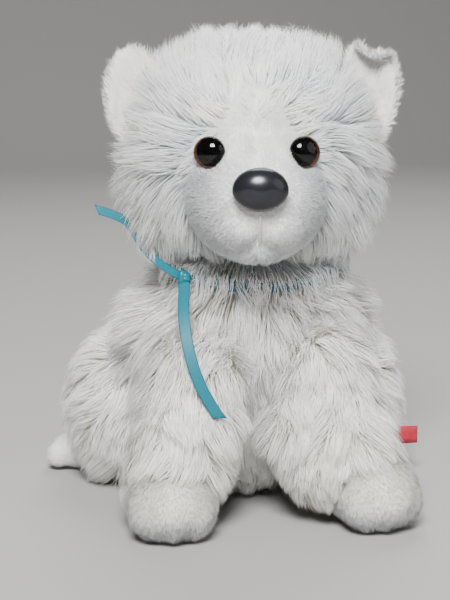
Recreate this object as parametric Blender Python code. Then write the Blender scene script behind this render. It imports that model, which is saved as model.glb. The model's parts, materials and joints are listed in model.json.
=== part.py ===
"""Sitting long-pile plush dog, built as the sewn panels, fillings and hard parts it is made of.

Metres, +Z up. The origin is the centre of the flat seat panel, and the body faces -Y, so the dog's
own left is +X. The head is turned a little to the dog's right in the rest pose. Every moving part
hangs from an empty on its joint: neck, head, shoulders, hips, tail root and the two ear seams.
"""

import math

import bmesh
import bpy
from mathutils import Matrix, Vector

GAP = 0.0003            # clear gap between pieces that touch
PANEL = 0.003           # a panel: backing cloth with its packed pile
FILL_GAP = 0.0006       # between a panel's inside and the filling
DISH_CLEAR = 0.0025     # room around each ball that turns in the body

# torso: height of each ring, then its centre in Y and its two radii as shares of the sizes
TORSO_HALF_WIDTH = 0.072
TORSO_HALF_DEPTH = 0.070
TORSO_HEIGHT = 0.139
TORSO_LEAN = 0.042      # how far forward the top sits
TORSO_SEGMENTS = 20
TORSO_SEAM_GAP = 0.0006
SEAT_SEAM = 0.011       # height of the seam around the seat panel
FLANK_SEAM_Y = -0.018   # the seam that runs up each flank, between belly and back

# neck and head
NECK_BALL = 0.026
NECK_STEM = 0.021
NECK_Y = -TORSO_LEAN - 0.002
NOD_RISE = 0.011        # how far the neck ball's centre stands above the torso
NOD_HEIGHT = TORSO_HEIGHT + NOD_RISE
NECK_DEPTH = 0.036      # how far the stem reaches below the ball's centre
NECK_CLEAR = 0.0015
NECK_STEP = -0.010      # below this the neck's hole narrows from ball to stem
NECK_STEP_HEIGHT = 0.006
NECK_OPEN = 0.020       # how far above the ball's centre the hole is cut
HEAD_TURN = math.radians(-7)
HEAD_HALF_WIDTH = 0.0640
HEAD_HALF_DEPTH = 0.060
HEAD_HALF_HEIGHT = 0.063
HEAD_RADII = Vector((HEAD_HALF_WIDTH, HEAD_HALF_DEPTH, HEAD_HALF_HEIGHT))
HEAD_SINK = 0.005       # how far the head's underside lies below the neck ball's centre
HEAD_CENTRE = Vector((0, -0.016, HEAD_HALF_HEIGHT - HEAD_SINK))
GUSSET_HALF = 0.016     # the strip from forehead to nape
CHIN_SLOPE = Vector((0, -0.62, -0.78)).normalized()     # the seam between gusset and chin
MUZZLE_HALF_WIDTH = 0.037
MUZZLE_RADII = Vector((MUZZLE_HALF_WIDTH, 0.040, 0.034))
MUZZLE_SINK = 0.012     # how far the muzzle's centre lies behind the front of the head
MUZZLE_DROP = 0.019     # and below the head's centre
MUZZLE_CENTRE = Vector(
    (0, HEAD_CENTRE.y - HEAD_HALF_DEPTH + MUZZLE_SINK, HEAD_CENTRE.z - MUZZLE_DROP)
)
MUZZLE_BACK = MUZZLE_CENTRE.y + 0.006   # where the face insert ends inside the head
FACE_SEAM = 0.0007      # room between the face insert and the panels around it

# eyes and nose
EYE_RADIUS = 0.0088
EYE_HEIGHT = 0.0060
EYE_SPREAD = 0.0252
EYE_LEVEL = HEAD_CENTRE.z + 0.0065
EYE_RIM = 0.0006        # thickness of the dark back under the lens
EYE_BACK_SHARE = 0.98   # the back is a little narrower than the lens
SHANK_RADIUS = 0.0020
SHANK_LENGTH = 0.012
WASHER_RADIUS = 0.0070
WASHER_THICK = 0.0009
SHANK_CLEAR = 0.0006
WASHER_DEPTH = 0.0008   # how far the washers lie behind the cloth
WASHER_CLEAR = 0.0004
NOSE_RADII = Vector((0.0145, 0.0085, 0.0118))
NOSE_LEVEL = MUZZLE_CENTRE.z + 0.009
NOSE_SINK = 0.35        # share of the nose's depth by which its centre stands ahead of the cloth
MOUTH_THREAD = 0.0006   # radius of the stitching thread
MOUTH_LOW = MUZZLE_CENTRE.z - 0.021
MOUTH_TOP = 0.0015      # gap between the nose and the start of the stitch

# ears
EAR_HALF_WIDTH = 0.0165
EAR_HALF_HEIGHT = 0.031
EAR_THICK = 0.0050      # half the thickness of both cloths together
EAR_LEAN = math.radians(6)
EAR_SEAM_LEVEL = HEAD_CENTRE.z + 0.029  # where the seam touches the head's side
EAR_STAND_OFF = 0.0014
EAR_REACH = Vector((0.0072, 0, 0.0030))     # from the seam to the middle of the whole ear

# front legs
SHOULDER_INSET = 0.027
SHOULDER_X = TORSO_HALF_WIDTH - SHOULDER_INSET
SHOULDER_AHEAD = 0.013
SHOULDER_Y = -TORSO_HALF_DEPTH - SHOULDER_AHEAD
SHOULDER_Z = 0.092
SHOULDER_BALL = 0.029
FOOT_HALF_WIDTH = 0.033
FOOT_HALF_LENGTH = 0.040
FOOT_FORWARD = 0.020
FOOT_OUT = {"left": 0.014, "right": 0.010}
PAW_SEAM = 0.040
SOLE_SEAM = 0.005
LEG_SEGMENTS = 14

# hind legs
THIGH_HALF_WIDTH = 0.032
THIGH_RADIUS = 0.0465
THIGH_LIFT = 0.0005     # clear of the floor
HIP_INSET = 0.002
HIP_X = TORSO_HALF_WIDTH - HIP_INSET
HIP_Y = 0.010
HIP_Z = THIGH_RADIUS + THIGH_LIFT
HIND_PAW_RADII = Vector((0.023, 0.015, 0.013))
HIND_PAW_SINK = 0.006   # how far the paw's centre lies inside the thigh's outer side
HIND_PAW_OUT = THIGH_HALF_WIDTH - HIND_PAW_SINK
HIND_PAW_FLAT = 0.001   # how much of the paw the floor flattens
HIND_PAW_BACK = 0.020
HIND_PAW_TURN = math.radians(12)

# tail
TAIL_ROOT_Z = 0.038
TAIL_RADIUS = 0.023
TAIL_HALF_LENGTH = 0.038
TAIL_BALL = TAIL_RADIUS - DISH_CLEAR
TAIL_SINK = 0.62        # share of the ball that the tail's end reaches past the joint
TAIL_DROP = 0.004
TAIL_ROOT_Y = TORSO_HALF_DEPTH - 0.0014

# weighted pouch in the seat
POUCH_RADIUS = 0.036
POUCH_THICK = 0.014

# ribbon
RIBBON_WIDTH = 0.00635
RIBBON_THICK = 0.0005
COLLAR_RADII = (0.057, 0.051)
COLLAR_SLOPE = math.radians(17.5)
COLLAR_RISE = 0.003     # height of the loop's middle above the neck ball's centre
COLLAR_STEPS = 36
KNOT_ANGLE = math.radians(46)
KNOT_RADIUS = 0.0048
KNOT_FLAT = 0.7         # the knot is pressed flatter against the neck
FRONT_END_ROUTE = [
    (-0.0452, -0.0900, 0.1362),
    (-0.0472, -0.1025, 0.1262),
    (-0.0470, -0.1120, 0.1140),
    (-0.0445, -0.1175, 0.1005),
    (-0.0398, -0.1205, 0.0870),
    (-0.0332, -0.1220, 0.0750),
    (-0.0302, -0.1224, 0.0705),
]
BACK_END_ROUTE = [
    (-0.0503, -0.0829, 0.1452),
    (-0.0590, -0.0785, 0.1510),
    (-0.0660, -0.0725, 0.1580),
    (-0.0710, -0.0665, 0.1660),
    (-0.0755, -0.0615, 0.1722),
    (-0.0825, -0.0580, 0.1755),
    (-0.0905, -0.0570, 0.1780),
]

# sewn-in label
LABEL_WIDTH = 0.011
LABEL_LENGTH = 0.020
LABEL_THICK = 0.0016
LABEL_SINK = 0.004      # length of the label caught in the seam
LABEL_DROP = 0.020      # below the hip's centre
LABEL_AHEAD = 0.030     # in front of the hip's centre

COLOURS = {
    "long_pile": ((0.86, 0.86, 0.84), 0.95, 0.0),
    "short_pile": ((0.82, 0.81, 0.78), 0.95, 0.0),
    "ear_lining": ((0.86, 0.76, 0.72), 0.95, 0.0),
    "fibre_fill": ((0.93, 0.93, 0.93), 1.0, 0.0),
    "pouch_cloth": ((0.80, 0.78, 0.74), 0.9, 0.0),
    "eye_lens": ((0.10, 0.04, 0.02), 0.05, 0.0),
    "eye_back": ((0.012, 0.010, 0.010), 0.2, 0.0),
    "nose_plastic": ((0.012, 0.012, 0.014), 0.2, 0.0),
    "washer_plastic": ((0.85, 0.85, 0.84), 0.5, 0.0),
    "satin_ribbon": ((0.0, 0.22, 0.30), 0.35, 0.0),
    "label_cloth": ((0.60, 0.05, 0.07), 0.8, 0.0),
    "thread": ((0.55, 0.54, 0.52), 0.9, 0.0),
}


def material(slot):
    made = bpy.data.materials.get(slot)
    if made is None:
        made = bpy.data.materials.new(slot)
        made.use_nodes = True
        shader = made.node_tree.nodes["Principled BSDF"]
        colour, roughness, metallic = COLOURS[slot]
        shader.inputs["Base Color"].default_value = (*colour, 1.0)
        shader.inputs["Roughness"].default_value = roughness
        shader.inputs["Metallic"].default_value = metallic
    return made


def joint(name, place, parent=None, turn=0.0):
    """An empty on a joint's axis, which the pieces that move with it hang from."""
    empty = bpy.data.objects.new(name, None)
    empty.location = place
    empty.rotation_euler = (0, 0, turn)
    empty.parent = parent
    bpy.context.collection.objects.link(empty)
    return empty


def put(name, bm, slot, parent, cutters=(), smooth=True):
    """Turn a bmesh into a named piece under its joint, with what is cut out of it."""
    bmesh.ops.recalc_face_normals(bm, faces=bm.faces)
    mesh = bpy.data.meshes.new(name)
    bm.to_mesh(mesh)
    bm.free()
    if smooth:
        mesh.shade_smooth()
        mesh.set_sharp_from_angle(angle=math.radians(45))
    piece = bpy.data.objects.new(name, mesh)
    piece.parent = parent
    bpy.context.collection.objects.link(piece)
    if slot:
        mesh.materials.append(material(slot))
    for cutter in cutters:
        cut = piece.modifiers.new("cut_" + cutter.name, "BOOLEAN")
        cut.operation = "DIFFERENCE"
        cut.object = cutter
    return piece


def cutter(name, bm, parent):
    tool = put(name, bm, None, parent, smooth=False)
    tool.hide_render = True
    tool.display_type = "WIRE"
    return tool


def ovoid(centre, radii, segments=16, rings=10, turn=0.0):
    """A closed ball stretched to three radii."""
    bm = bmesh.new()
    bmesh.ops.create_uvsphere(bm, u_segments=segments, v_segments=rings, radius=1.0)
    bmesh.ops.scale(bm, vec=radii, verts=bm.verts)
    bm.transform(turned(turn))
    bmesh.ops.translate(bm, vec=centre, verts=bm.verts)
    return bm


def turned(angle, axis="Z"):
    return Matrix.Rotation(angle, 4, axis)


def loft(rings, segments):
    """Bridge level rings given as (height, centre x, centre y, radius x, radius y), and cap them."""
    bm = bmesh.new()
    loops = []
    for height, centre_x, centre_y, radius_x, radius_y in rings:
        made = bmesh.ops.create_circle(bm, segments=segments, radius=1.0)["verts"]
        bmesh.ops.scale(bm, vec=(radius_x, radius_y, 1), verts=made)
        bmesh.ops.translate(bm, vec=(centre_x, centre_y, height), verts=made)
        loops.append(made)
    for low, high in zip(loops, loops[1:]):
        around = set(low) | set(high)
        edges = [e for e in bm.edges if set(e.verts) <= around and len(e.link_faces) < 2]
        level = [e for e in edges if abs(e.verts[0].co.z - e.verts[1].co.z) < 1e-7]
        bmesh.ops.bridge_loops(bm, edges=level)
    for end in (loops[0], loops[-1]):
        bmesh.ops.contextual_create(bm, geom=end)
    bmesh.ops.recalc_face_normals(bm, faces=bm.faces)
    return bm


def keep(bm, planes):
    """Keep what lies on the inner side of each plane, given as (point, outward normal)."""
    for point, normal in planes:
        geom = list(bm.verts) + list(bm.edges) + list(bm.faces)
        cut = bmesh.ops.bisect_plane(
            bm, geom=geom, dist=1e-6, plane_co=point, plane_no=normal, clear_outer=True
        )
        edges = [e for e in cut["geom_cut"] if isinstance(e, bmesh.types.BMEdge)]
        bmesh.ops.contextual_create(bm, geom=edges)
    return bm


def shrink(bm, distance):
    """Move every point inwards along its normal."""
    bm.normal_update()
    moved = [(vert, vert.co - vert.normal * distance) for vert in bm.verts]
    for vert, place in moved:
        vert.co = place
    return bm


def panel(name, bm, planes, slot, parent, cutters=()):
    """Cut one panel out of a closed surface and give it its thickness, inwards."""
    bm.normal_update()
    inside = bm.verts.layers.float_vector.new("inside")
    for vert in bm.verts:
        vert[inside] = vert.co - vert.normal * PANEL
    for point, normal in planes:
        geom = list(bm.verts) + list(bm.edges) + list(bm.faces)
        bmesh.ops.bisect_plane(bm, geom=geom, dist=1e-6, plane_co=point, plane_no=normal)
    beyond = set()
    for point, normal in planes:
        for side in bm.faces:
            if (side.calc_center_median() - Vector(point)).dot(Vector(normal)) > 0:
                beyond.add(side)
    bmesh.ops.delete(bm, geom=list(beyond), context="FACES")
    grown = bmesh.ops.extrude_face_region(bm, geom=list(bm.faces), use_keep_orig=True)
    for item in grown["geom"]:
        if isinstance(item, bmesh.types.BMVert):
            item.co = item[inside]
    return put(name, bm, slot, parent, cutters)


def turn_profile(points, segments=14):
    """Spin a profile of (radius, height) points about the Z axis into a closed body."""
    bm = bmesh.new()
    chain = [bm.verts.new((radius, 0, height)) for radius, height in points]
    for first, second in zip(chain, chain[1:]):
        bm.edges.new((first, second))
    if points[0][0] > 0:
        bm.edges.new((chain[-1], chain[0]))
    bmesh.ops.spin(
        bm,
        geom=list(bm.verts) + list(bm.edges),
        cent=(0, 0, 0),
        axis=(0, 0, 1),
        angle=math.tau,
        steps=segments,
        use_merge=True,
    )
    bmesh.ops.remove_doubles(bm, verts=bm.verts, dist=1e-6)
    bmesh.ops.recalc_face_normals(bm, faces=bm.faces)
    return bm


# ---------------------------------------------------------------- torso

def torso_surface():
    """The body's outside, from the flat seat to the neck, leaning forward as it rises."""
    wide = TORSO_HALF_WIDTH
    deep = TORSO_HALF_DEPTH
    tall = TORSO_HEIGHT
    lean = TORSO_LEAN
    rings = [
        (0.0, 0, 0.0, wide * 0.81, deep * 0.83),
        (tall * 0.035, 0, 0.0, wide * 0.90, deep * 0.93),
        (tall * 0.12, 0, 0.0, wide * 0.98, deep * 1.00),
        (tall * 0.28, 0, -lean * 0.07, wide * 1.00, deep * 0.98),
        (tall * 0.47, 0, -lean * 0.21, wide * 0.97, deep * 0.91),
        (tall * 0.65, 0, -lean * 0.45, wide * 0.95, deep * 0.84),
        (tall * 0.80, 0, -lean * 0.71, wide * 0.91, deep * 0.77),
        (tall * 0.91, 0, -lean * 0.89, wide * 0.81, deep * 0.68),
        (tall * 0.98, 0, -lean * 0.98, wide * 0.63, deep * 0.54),
        (tall, 0, -lean, wide * 0.50, deep * 0.43),
    ]
    return loft(rings, TORSO_SEGMENTS)


def thigh_ball(grow=0.0):
    """The thigh is turned about the hip's own axis, so it can swing in its dish."""
    radii = (THIGH_HALF_WIDTH + grow, THIGH_RADIUS + grow, THIGH_RADIUS + grow)
    bm = bmesh.new()
    bmesh.ops.create_uvsphere(bm, u_segments=16, v_segments=8, radius=1.0)
    bm.transform(turned(math.pi / 2, "Y"))
    bmesh.ops.scale(bm, vec=radii, verts=bm.verts)
    return bm


def make_torso(joints):
    """Seat, belly and two back panels around one filling, with the weighted pouch in the seat."""
    cutters = []
    for side, sign in (("left", 1), ("right", -1)):
        ball = ovoid((0, 0, 0), (SHOULDER_BALL + DISH_CLEAR,) * 3)
        cutters.append(cutter(f"cut_shoulder_{side}", ball, joints["shoulder_" + side]))
        cutters.append(
            cutter(f"cut_hip_{side}", thigh_ball(DISH_CLEAR), joints["hip_" + side])
        )
    tail_ball = ovoid((0, 0, 0), (TAIL_BALL + DISH_CLEAR,) * 3)
    cutters.append(cutter("cut_tail", tail_ball, joints["tail"]))
    neck_hole = turn_profile(
        [
            (0, -NECK_DEPTH - NECK_CLEAR),
            (NECK_STEM + NECK_CLEAR, -NECK_DEPTH - NECK_CLEAR),
            (NECK_STEM + NECK_CLEAR, NECK_STEP - NECK_STEP_HEIGHT),
            (NECK_BALL + NECK_CLEAR, NECK_STEP),
            (NECK_BALL + NECK_CLEAR, NECK_OPEN),
            (0, NECK_OPEN),
        ],
        18,
    )
    cutters.append(cutter("cut_neck", neck_hole, joints["neck"]))

    seam = SEAT_SEAM
    half = TORSO_SEAM_GAP / 2
    above = ((0, 0, seam + half), (0, 0, -1))
    ahead = ((0, FLANK_SEAM_Y - half, 0), (0, 1, 0))
    behind = ((0, FLANK_SEAM_Y + half, 0), (0, -1, 0))
    below = ((0, 0, seam - half), (0, 0, 1))
    left = ((half, 0, 0), (-1, 0, 0))
    right = ((-half, 0, 0), (1, 0, 0))
    for name, planes in (
        ("seat_panel", [below]),
        ("belly_panel", [above, ahead]),
        ("back_panel_left", [above, behind, left]),
        ("back_panel_right", [above, behind, right]),
    ):
        panel(name, torso_surface(), planes, "long_pile", None, cutters)

    floor = PANEL + FILL_GAP
    pouch = turn_profile(
        [
            (0, floor),
            (POUCH_RADIUS * 0.86, floor),
            (POUCH_RADIUS, floor + POUCH_THICK * 0.35),
            (POUCH_RADIUS * 0.92, floor + POUCH_THICK * 0.75),
            (POUCH_RADIUS * 0.60, floor + POUCH_THICK),
            (0, floor + POUCH_THICK),
        ],
        16,
    )
    pocket = turn_profile(
        [
            (0, 0),
            (POUCH_RADIUS + FILL_GAP, 0),
            (POUCH_RADIUS + FILL_GAP, floor + POUCH_THICK + FILL_GAP),
            (0, floor + POUCH_THICK + FILL_GAP),
        ],
        16,
    )
    put("bean_pouch", pouch, "pouch_cloth", None)
    cutters.append(cutter("cut_pouch", pocket, None))
    filling = shrink(torso_surface(), PANEL + FILL_GAP)
    put("torso_filling", filling, "fibre_fill", None, cutters)


# ---------------------------------------------------------------- neck and head

def make_neck(joints):
    """A stuffed ball on a stem: it turns in the body, and the head nods on it."""
    steps = 7
    profile = [(0, -NECK_DEPTH), (NECK_STEM * 0.8, -NECK_DEPTH), (NECK_STEM, -NECK_DEPTH * 0.9)]
    start = -math.acos(NECK_STEM / NECK_BALL)
    for step in range(steps + 1):
        angle = start + (math.pi / 2 - start) * step / steps
        profile.append((NECK_BALL * math.cos(angle), NECK_BALL * math.sin(angle)))
    profile[-1] = (0, NECK_BALL)
    put("neck_plug", turn_profile(profile, 16), "long_pile", joints["neck"])


def head_surface():
    return ovoid(HEAD_CENTRE, HEAD_RADII, 20, 12)


def muzzle_surface(grow=0.0):
    return ovoid(MUZZLE_CENTRE, MUZZLE_RADII + Vector((grow, grow, grow)), 18, 10)


def on_head(spread, level):
    """The point of the head's front at a width and a level, and the outward direction there."""
    across = (spread - HEAD_CENTRE.x) / HEAD_RADII.x
    up = (level - HEAD_CENTRE.z) / HEAD_RADII.z
    ahead = -math.sqrt(1 - across * across - up * up)
    point = Vector((spread, HEAD_CENTRE.y + HEAD_RADII.y * ahead, level))
    normal = Vector((across / HEAD_RADII.x, ahead / HEAD_RADII.y, up / HEAD_RADII.z))
    return point, normal.normalized()


def muzzle_front(level):
    up = (level - MUZZLE_CENTRE.z) / MUZZLE_RADII.z
    return MUZZLE_CENTRE.y - MUZZLE_RADII.y * math.sqrt(1 - up * up)


def face(place, direction):
    """The matrix that stands a piece turned about Z on a surface, looking along a direction."""
    turn = direction.to_track_quat("Z", "Y").to_matrix().to_4x4()
    turn.translation = place
    return turn


def make_eye(side, sign, joints):
    """A clear half-round lens on a dark back with a shank, the washer inside, and their hole."""
    place, outward = on_head(sign * EYE_SPREAD, EYE_LEVEL)
    stand = face(place, outward)
    rim = GAP + EYE_RIM
    lens = [(0, rim + GAP), (EYE_RADIUS, rim + GAP)]
    steps = 5
    for step in range(1, steps + 1):
        angle = math.pi / 2 * step / steps
        height = rim + GAP + EYE_HEIGHT * math.sin(angle)
        lens.append((EYE_RADIUS * math.cos(angle), height))
    lens[-1] = (0, lens[-1][1])
    back = [
        (0, rim),
        (EYE_RADIUS * EYE_BACK_SHARE, rim),
        (EYE_RADIUS * EYE_BACK_SHARE, GAP),
        (SHANK_RADIUS, GAP),
        (SHANK_RADIUS, -SHANK_LENGTH),
        (0, -SHANK_LENGTH),
    ]
    top = -PANEL - WASHER_DEPTH
    washer = [
        (SHANK_RADIUS + GAP, top),
        (WASHER_RADIUS, top),
        (WASHER_RADIUS, top - WASHER_THICK),
        (SHANK_RADIUS + GAP, top - WASHER_THICK),
    ]
    hole = [
        (0, EYE_HEIGHT * 2),
        (EYE_RADIUS + SHANK_CLEAR, EYE_HEIGHT * 2),
        (EYE_RADIUS + SHANK_CLEAR, GAP / 3),
        (SHANK_RADIUS + SHANK_CLEAR, GAP / 3),
        (SHANK_RADIUS + SHANK_CLEAR, -PANEL - WASHER_CLEAR),
        (WASHER_RADIUS + SHANK_CLEAR, -PANEL - WASHER_CLEAR),
        (WASHER_RADIUS + SHANK_CLEAR, -SHANK_LENGTH - SHANK_CLEAR),
        (0, -SHANK_LENGTH - SHANK_CLEAR),
    ]
    for name, profile, slot in (
        (f"eye_lens_{side}", lens, "eye_lens"),
        (f"eye_back_{side}", back, "eye_back"),
        (f"eye_washer_{side}", washer, "washer_plastic"),
    ):
        bm = turn_profile(profile)
        bm.transform(stand)
        put(name, bm, slot, joints["head"])
    bm = turn_profile(hole)
    bm.transform(stand)
    return cutter(f"cut_eye_{side}", bm, joints["head"])


def make_nose(joints):
    """The moulded nose on the front of the muzzle, its shank and its washer."""
    front = muzzle_front(NOSE_LEVEL)
    shell = cutter("cut_nose_seat", muzzle_surface(GAP * 2), joints["head"])
    stand = face(Vector((0, front, NOSE_LEVEL)), Vector((0, -1, 0)))
    nose = ovoid((0, front - NOSE_RADII.y * NOSE_SINK, NOSE_LEVEL), NOSE_RADII, 18, 10)
    put("nose", nose, "nose_plastic", joints["head"], [shell])
    washer_top = -PANEL - WASHER_DEPTH
    shank_top = -GAP * 3
    shank = turn_profile(
        [
            (0, shank_top),
            (SHANK_RADIUS, shank_top),
            (SHANK_RADIUS, -SHANK_LENGTH),
            (0, -SHANK_LENGTH),
        ]
    )
    shank.transform(stand)
    put("nose_shank", shank, "nose_plastic", joints["head"])
    washer = turn_profile(
        [
            (SHANK_RADIUS + GAP, washer_top),
            (WASHER_RADIUS, washer_top),
            (WASHER_RADIUS, washer_top - WASHER_THICK),
            (SHANK_RADIUS + GAP, washer_top - WASHER_THICK),
        ]
    )
    washer.transform(stand)
    put("nose_washer", washer, "washer_plastic", joints["head"])
    hole = turn_profile(
        [
            (0, NOSE_RADII.y / 2),
            (SHANK_RADIUS + SHANK_CLEAR, NOSE_RADII.y / 2),
            (SHANK_RADIUS + SHANK_CLEAR, -PANEL - WASHER_CLEAR),
            (WASHER_RADIUS + SHANK_CLEAR, -PANEL - WASHER_CLEAR),
            (WASHER_RADIUS + SHANK_CLEAR, -SHANK_LENGTH - SHANK_CLEAR),
            (0, -SHANK_LENGTH - SHANK_CLEAR),
        ]
    )
    hole.transform(stand)
    return cutter("cut_nose", hole, joints["head"])


def make_mouth(joints):
    """The stitched line from under the nose to the chin, lying on the muzzle."""
    bow = bpy.data.curves.new("mouth_stitch", "CURVE")
    bow.dimensions = "3D"
    bow.bevel_depth = MOUTH_THREAD
    bow.bevel_resolution = 1
    bow.use_fill_caps = True
    steps = 9
    top = NOSE_LEVEL - NOSE_RADII.z - MOUTH_TOP
    line = bow.splines.new("POLY")
    line.points.add(steps - 1)
    for step in range(steps):
        level = top + (MOUTH_LOW - top) * step / (steps - 1)
        up = (level - MUZZLE_CENTRE.z) / MUZZLE_RADII.z
        normal = Vector((0, -math.sqrt(1 - up * up) / MUZZLE_RADII.y, up / MUZZLE_RADII.z))
        lift = normal.normalized() * (MOUTH_THREAD + GAP)
        line.points[step].co = (0, muzzle_front(level) + lift.y, level + lift.z, 1)
    stitch = bpy.data.objects.new("mouth_stitch", bow)
    stitch.parent = joints["head"]
    bow.materials.append(material("thread"))
    bpy.context.collection.objects.link(stitch)


def make_head(joints):
    """Two sides, gusset and chin of long pile, the short-pile face insert, and two fillings."""
    head = joints["head"]
    socket = cutter(
        "cut_socket", ovoid((0, 0, 0), (NECK_BALL + NECK_CLEAR,) * 3, turn=0.1), head
    )
    face_hole = cutter("cut_face", muzzle_surface(FACE_SEAM), head)
    left_eye = make_eye("left", 1, joints)
    right_eye = make_eye("right", -1, joints)
    nose_hole = make_nose(joints)

    half = GUSSET_HALF
    split = Vector((0, HEAD_CENTRE.y, NECK_CLEAR))
    slope = CHIN_SLOPE
    band = [((half, 0, 0), (1, 0, 0)), ((-half, 0, 0), (-1, 0, 0))]
    above = (split - slope * GAP / 2, slope)
    below = (split + slope * GAP / 2, -slope)
    left = ((half + GAP, 0, 0), (-1, 0, 0))
    right = ((-half - GAP, 0, 0), (1, 0, 0))
    for name, planes, cuts in (
        ("head_gusset", [*band, above], [socket, face_hole]),
        ("chin_panel", [*band, below], [socket, face_hole]),
        ("head_side_left", [left], [left_eye, socket, face_hole]),
        ("head_side_right", [right], [right_eye, socket, face_hole]),
    ):
        panel(name, head_surface(), planes, "long_pile", head, cuts)
    filling = shrink(head_surface(), PANEL + FILL_GAP)
    put("head_filling", filling, "fibre_fill", head, [socket, face_hole, left_eye, right_eye])

    edge = [((0, MUZZLE_BACK, 0), (0, 1, 0))]
    holes = [nose_hole, left_eye, right_eye]
    panel("face_insert", muzzle_surface(), edge, "short_pile", head, holes)
    stuffed = shrink(muzzle_surface(), PANEL + FILL_GAP)
    put("muzzle_filling", stuffed, "fibre_fill", head, holes)
    make_mouth(joints)


def ear_seam():
    """Where the seam plane stands off the head's side, and which way is out."""
    up = (EAR_SEAM_LEVEL - HEAD_CENTRE.z) / HEAD_RADII.z
    across = math.sqrt(1 - up * up)
    outward = Vector((across / HEAD_RADII.x, 0, up / HEAD_RADII.z)).normalized()
    touch = Vector((HEAD_RADII.x * across, HEAD_CENTRE.y, EAR_SEAM_LEVEL))
    return touch + outward * EAR_STAND_OFF, outward


def make_ears(joints):
    """Each ear is two cloths, a furry back and a smooth lining, cut flat along its seam."""
    for side, sign in (("left", 1), ("right", -1)):
        axis = joints["ear_" + side]
        outward = ear_seam()[1]
        for name, slot, normal in (
            (f"ear_back_{side}", "long_pile", (0, -1, 0)),
            (f"ear_lining_{side}", "ear_lining", (0, 1, 0)),
        ):
            radii = (EAR_HALF_WIDTH, EAR_THICK, EAR_HALF_HEIGHT)
            bm = ovoid((0, 0, 0), radii, 14, 8)
            bm.transform(turned(EAR_LEAN, "Y"))
            bmesh.ops.translate(bm, vec=EAR_REACH, verts=bm.verts)
            gap_point = Vector(normal) * (-GAP / 2)
            keep(bm, [((0, 0, 0), -outward), (gap_point, normal)])
            if sign < 0:
                bmesh.ops.scale(bm, vec=(-1, 1, 1), verts=bm.verts)
            put(name, bm, slot, axis)


# ---------------------------------------------------------------- legs and tail

def leg_surface(side, sign):
    """From the sole up to the shoulder ball, which is a true half ball about the joint."""
    out = sign * FOOT_OUT[side]
    ahead = -FOOT_FORWARD
    wide = FOOT_HALF_WIDTH
    long = FOOT_HALF_LENGTH
    ball = SHOULDER_BALL
    floor = -SHOULDER_Z
    rings = [
        (floor, out, ahead, wide * 0.86, long * 0.88),
        (floor + 0.006, out, ahead, wide * 0.97, long * 0.98),
        (floor + 0.018, out, ahead, wide, long),
        (floor + 0.032, out * 0.92, ahead * 0.88, wide * 0.96, long * 0.90),
        (floor + PAW_SEAM + 0.004, out * 0.78, ahead * 0.72, wide * 0.92, long * 0.78),
        (floor * 0.33, out * 0.5, ahead * 0.5, ball, ball),
        (floor * 0.13, out * 0.15, ahead * 0.2, ball * 0.97, ball * 0.95),
    ]
    for degrees in (5, 28, 50, 70, 84):
        angle = math.radians(degrees)
        flat = ball * math.cos(angle)
        rings.append((ball * math.sin(angle), 0, 0, flat, flat))
    return loft(rings, LEG_SEGMENTS)


def make_front_legs(joints):
    """Outer and inner sleeve, paw cloth, sole and filling."""
    for side, sign in (("left", 1), ("right", -1)):
        axis = joints["shoulder_" + side]
        middle = sign * FOOT_OUT[side] / 2
        lean = Vector((SHOULDER_Z, 0, sign * FOOT_OUT[side])).normalized()
        split = Vector((middle, 0, -SHOULDER_Z / 2))
        paw_top = Vector((0, 0, PAW_SEAM - SHOULDER_Z))
        sole_top = Vector((0, 0, SOLE_SEAM - SHOULDER_Z))
        half = Vector((0, 0, GAP / 2))
        down = (0, 0, -1)
        for part, way in (("outer", -sign), ("inner", sign)):
            away = lean * way
            planes = [(split - away * GAP / 2, away), (paw_top + half, down)]
            name = f"front_leg_{part}_{side}"
            panel(name, leg_surface(side, sign), planes, "long_pile", axis)
        paw = [(paw_top - half, (0, 0, 1)), (sole_top + half, down)]
        panel(f"front_paw_{side}", leg_surface(side, sign), paw, "short_pile", axis)
        sole = [(sole_top - half, (0, 0, 1))]
        panel(f"front_sole_{side}", leg_surface(side, sign), sole, "short_pile", axis)
        filling = shrink(leg_surface(side, sign), PANEL + FILL_GAP)
        put(f"front_leg_filling_{side}", filling, "fibre_fill", axis)


def make_hind_legs(joints):
    """A round thigh of two panels and its filling, with the small paw that pokes out sideways."""
    for side, sign in (("left", 1), ("right", -1)):
        axis = joints["hip_" + side]
        outer = ((sign * GAP / 2, 0, 0), (-sign, 0, 0))
        inner = ((-sign * GAP / 2, 0, 0), (sign, 0, 0))
        panel(f"thigh_outer_{side}", thigh_ball(), [outer], "long_pile", axis)
        panel(f"thigh_inner_{side}", thigh_ball(), [inner], "long_pile", axis)
        put(f"thigh_filling_{side}", shrink(thigh_ball(), PANEL + FILL_GAP), "fibre_fill", axis)
        tool = cutter(f"cut_thigh_{side}", thigh_ball(GAP * 2), axis)
        place = (sign * HIND_PAW_OUT, HIND_PAW_BACK, HIND_PAW_RADII.z - HIP_Z - HIND_PAW_FLAT)
        paw = ovoid(place, HIND_PAW_RADII, 14, 8, sign * HIND_PAW_TURN)
        keep(paw, [((0, 0, -HIP_Z), (0, 0, -1))])
        put(f"hind_paw_{side}", paw, "short_pile", axis, [tool])


def tail_surface():
    """The tail lies back from its root ball, its root end inside the dish."""
    centre = (0, TAIL_HALF_LENGTH - TAIL_BALL * TAIL_SINK, -TAIL_DROP)
    radii = (TAIL_RADIUS, TAIL_HALF_LENGTH, TAIL_RADIUS)
    bm = bmesh.new()
    bmesh.ops.create_uvsphere(bm, u_segments=14, v_segments=10, radius=1.0)
    bm.transform(turned(math.pi / 2, "X"))
    bmesh.ops.scale(bm, vec=radii, verts=bm.verts)
    bmesh.ops.translate(bm, vec=centre, verts=bm.verts)
    return bm


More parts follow.
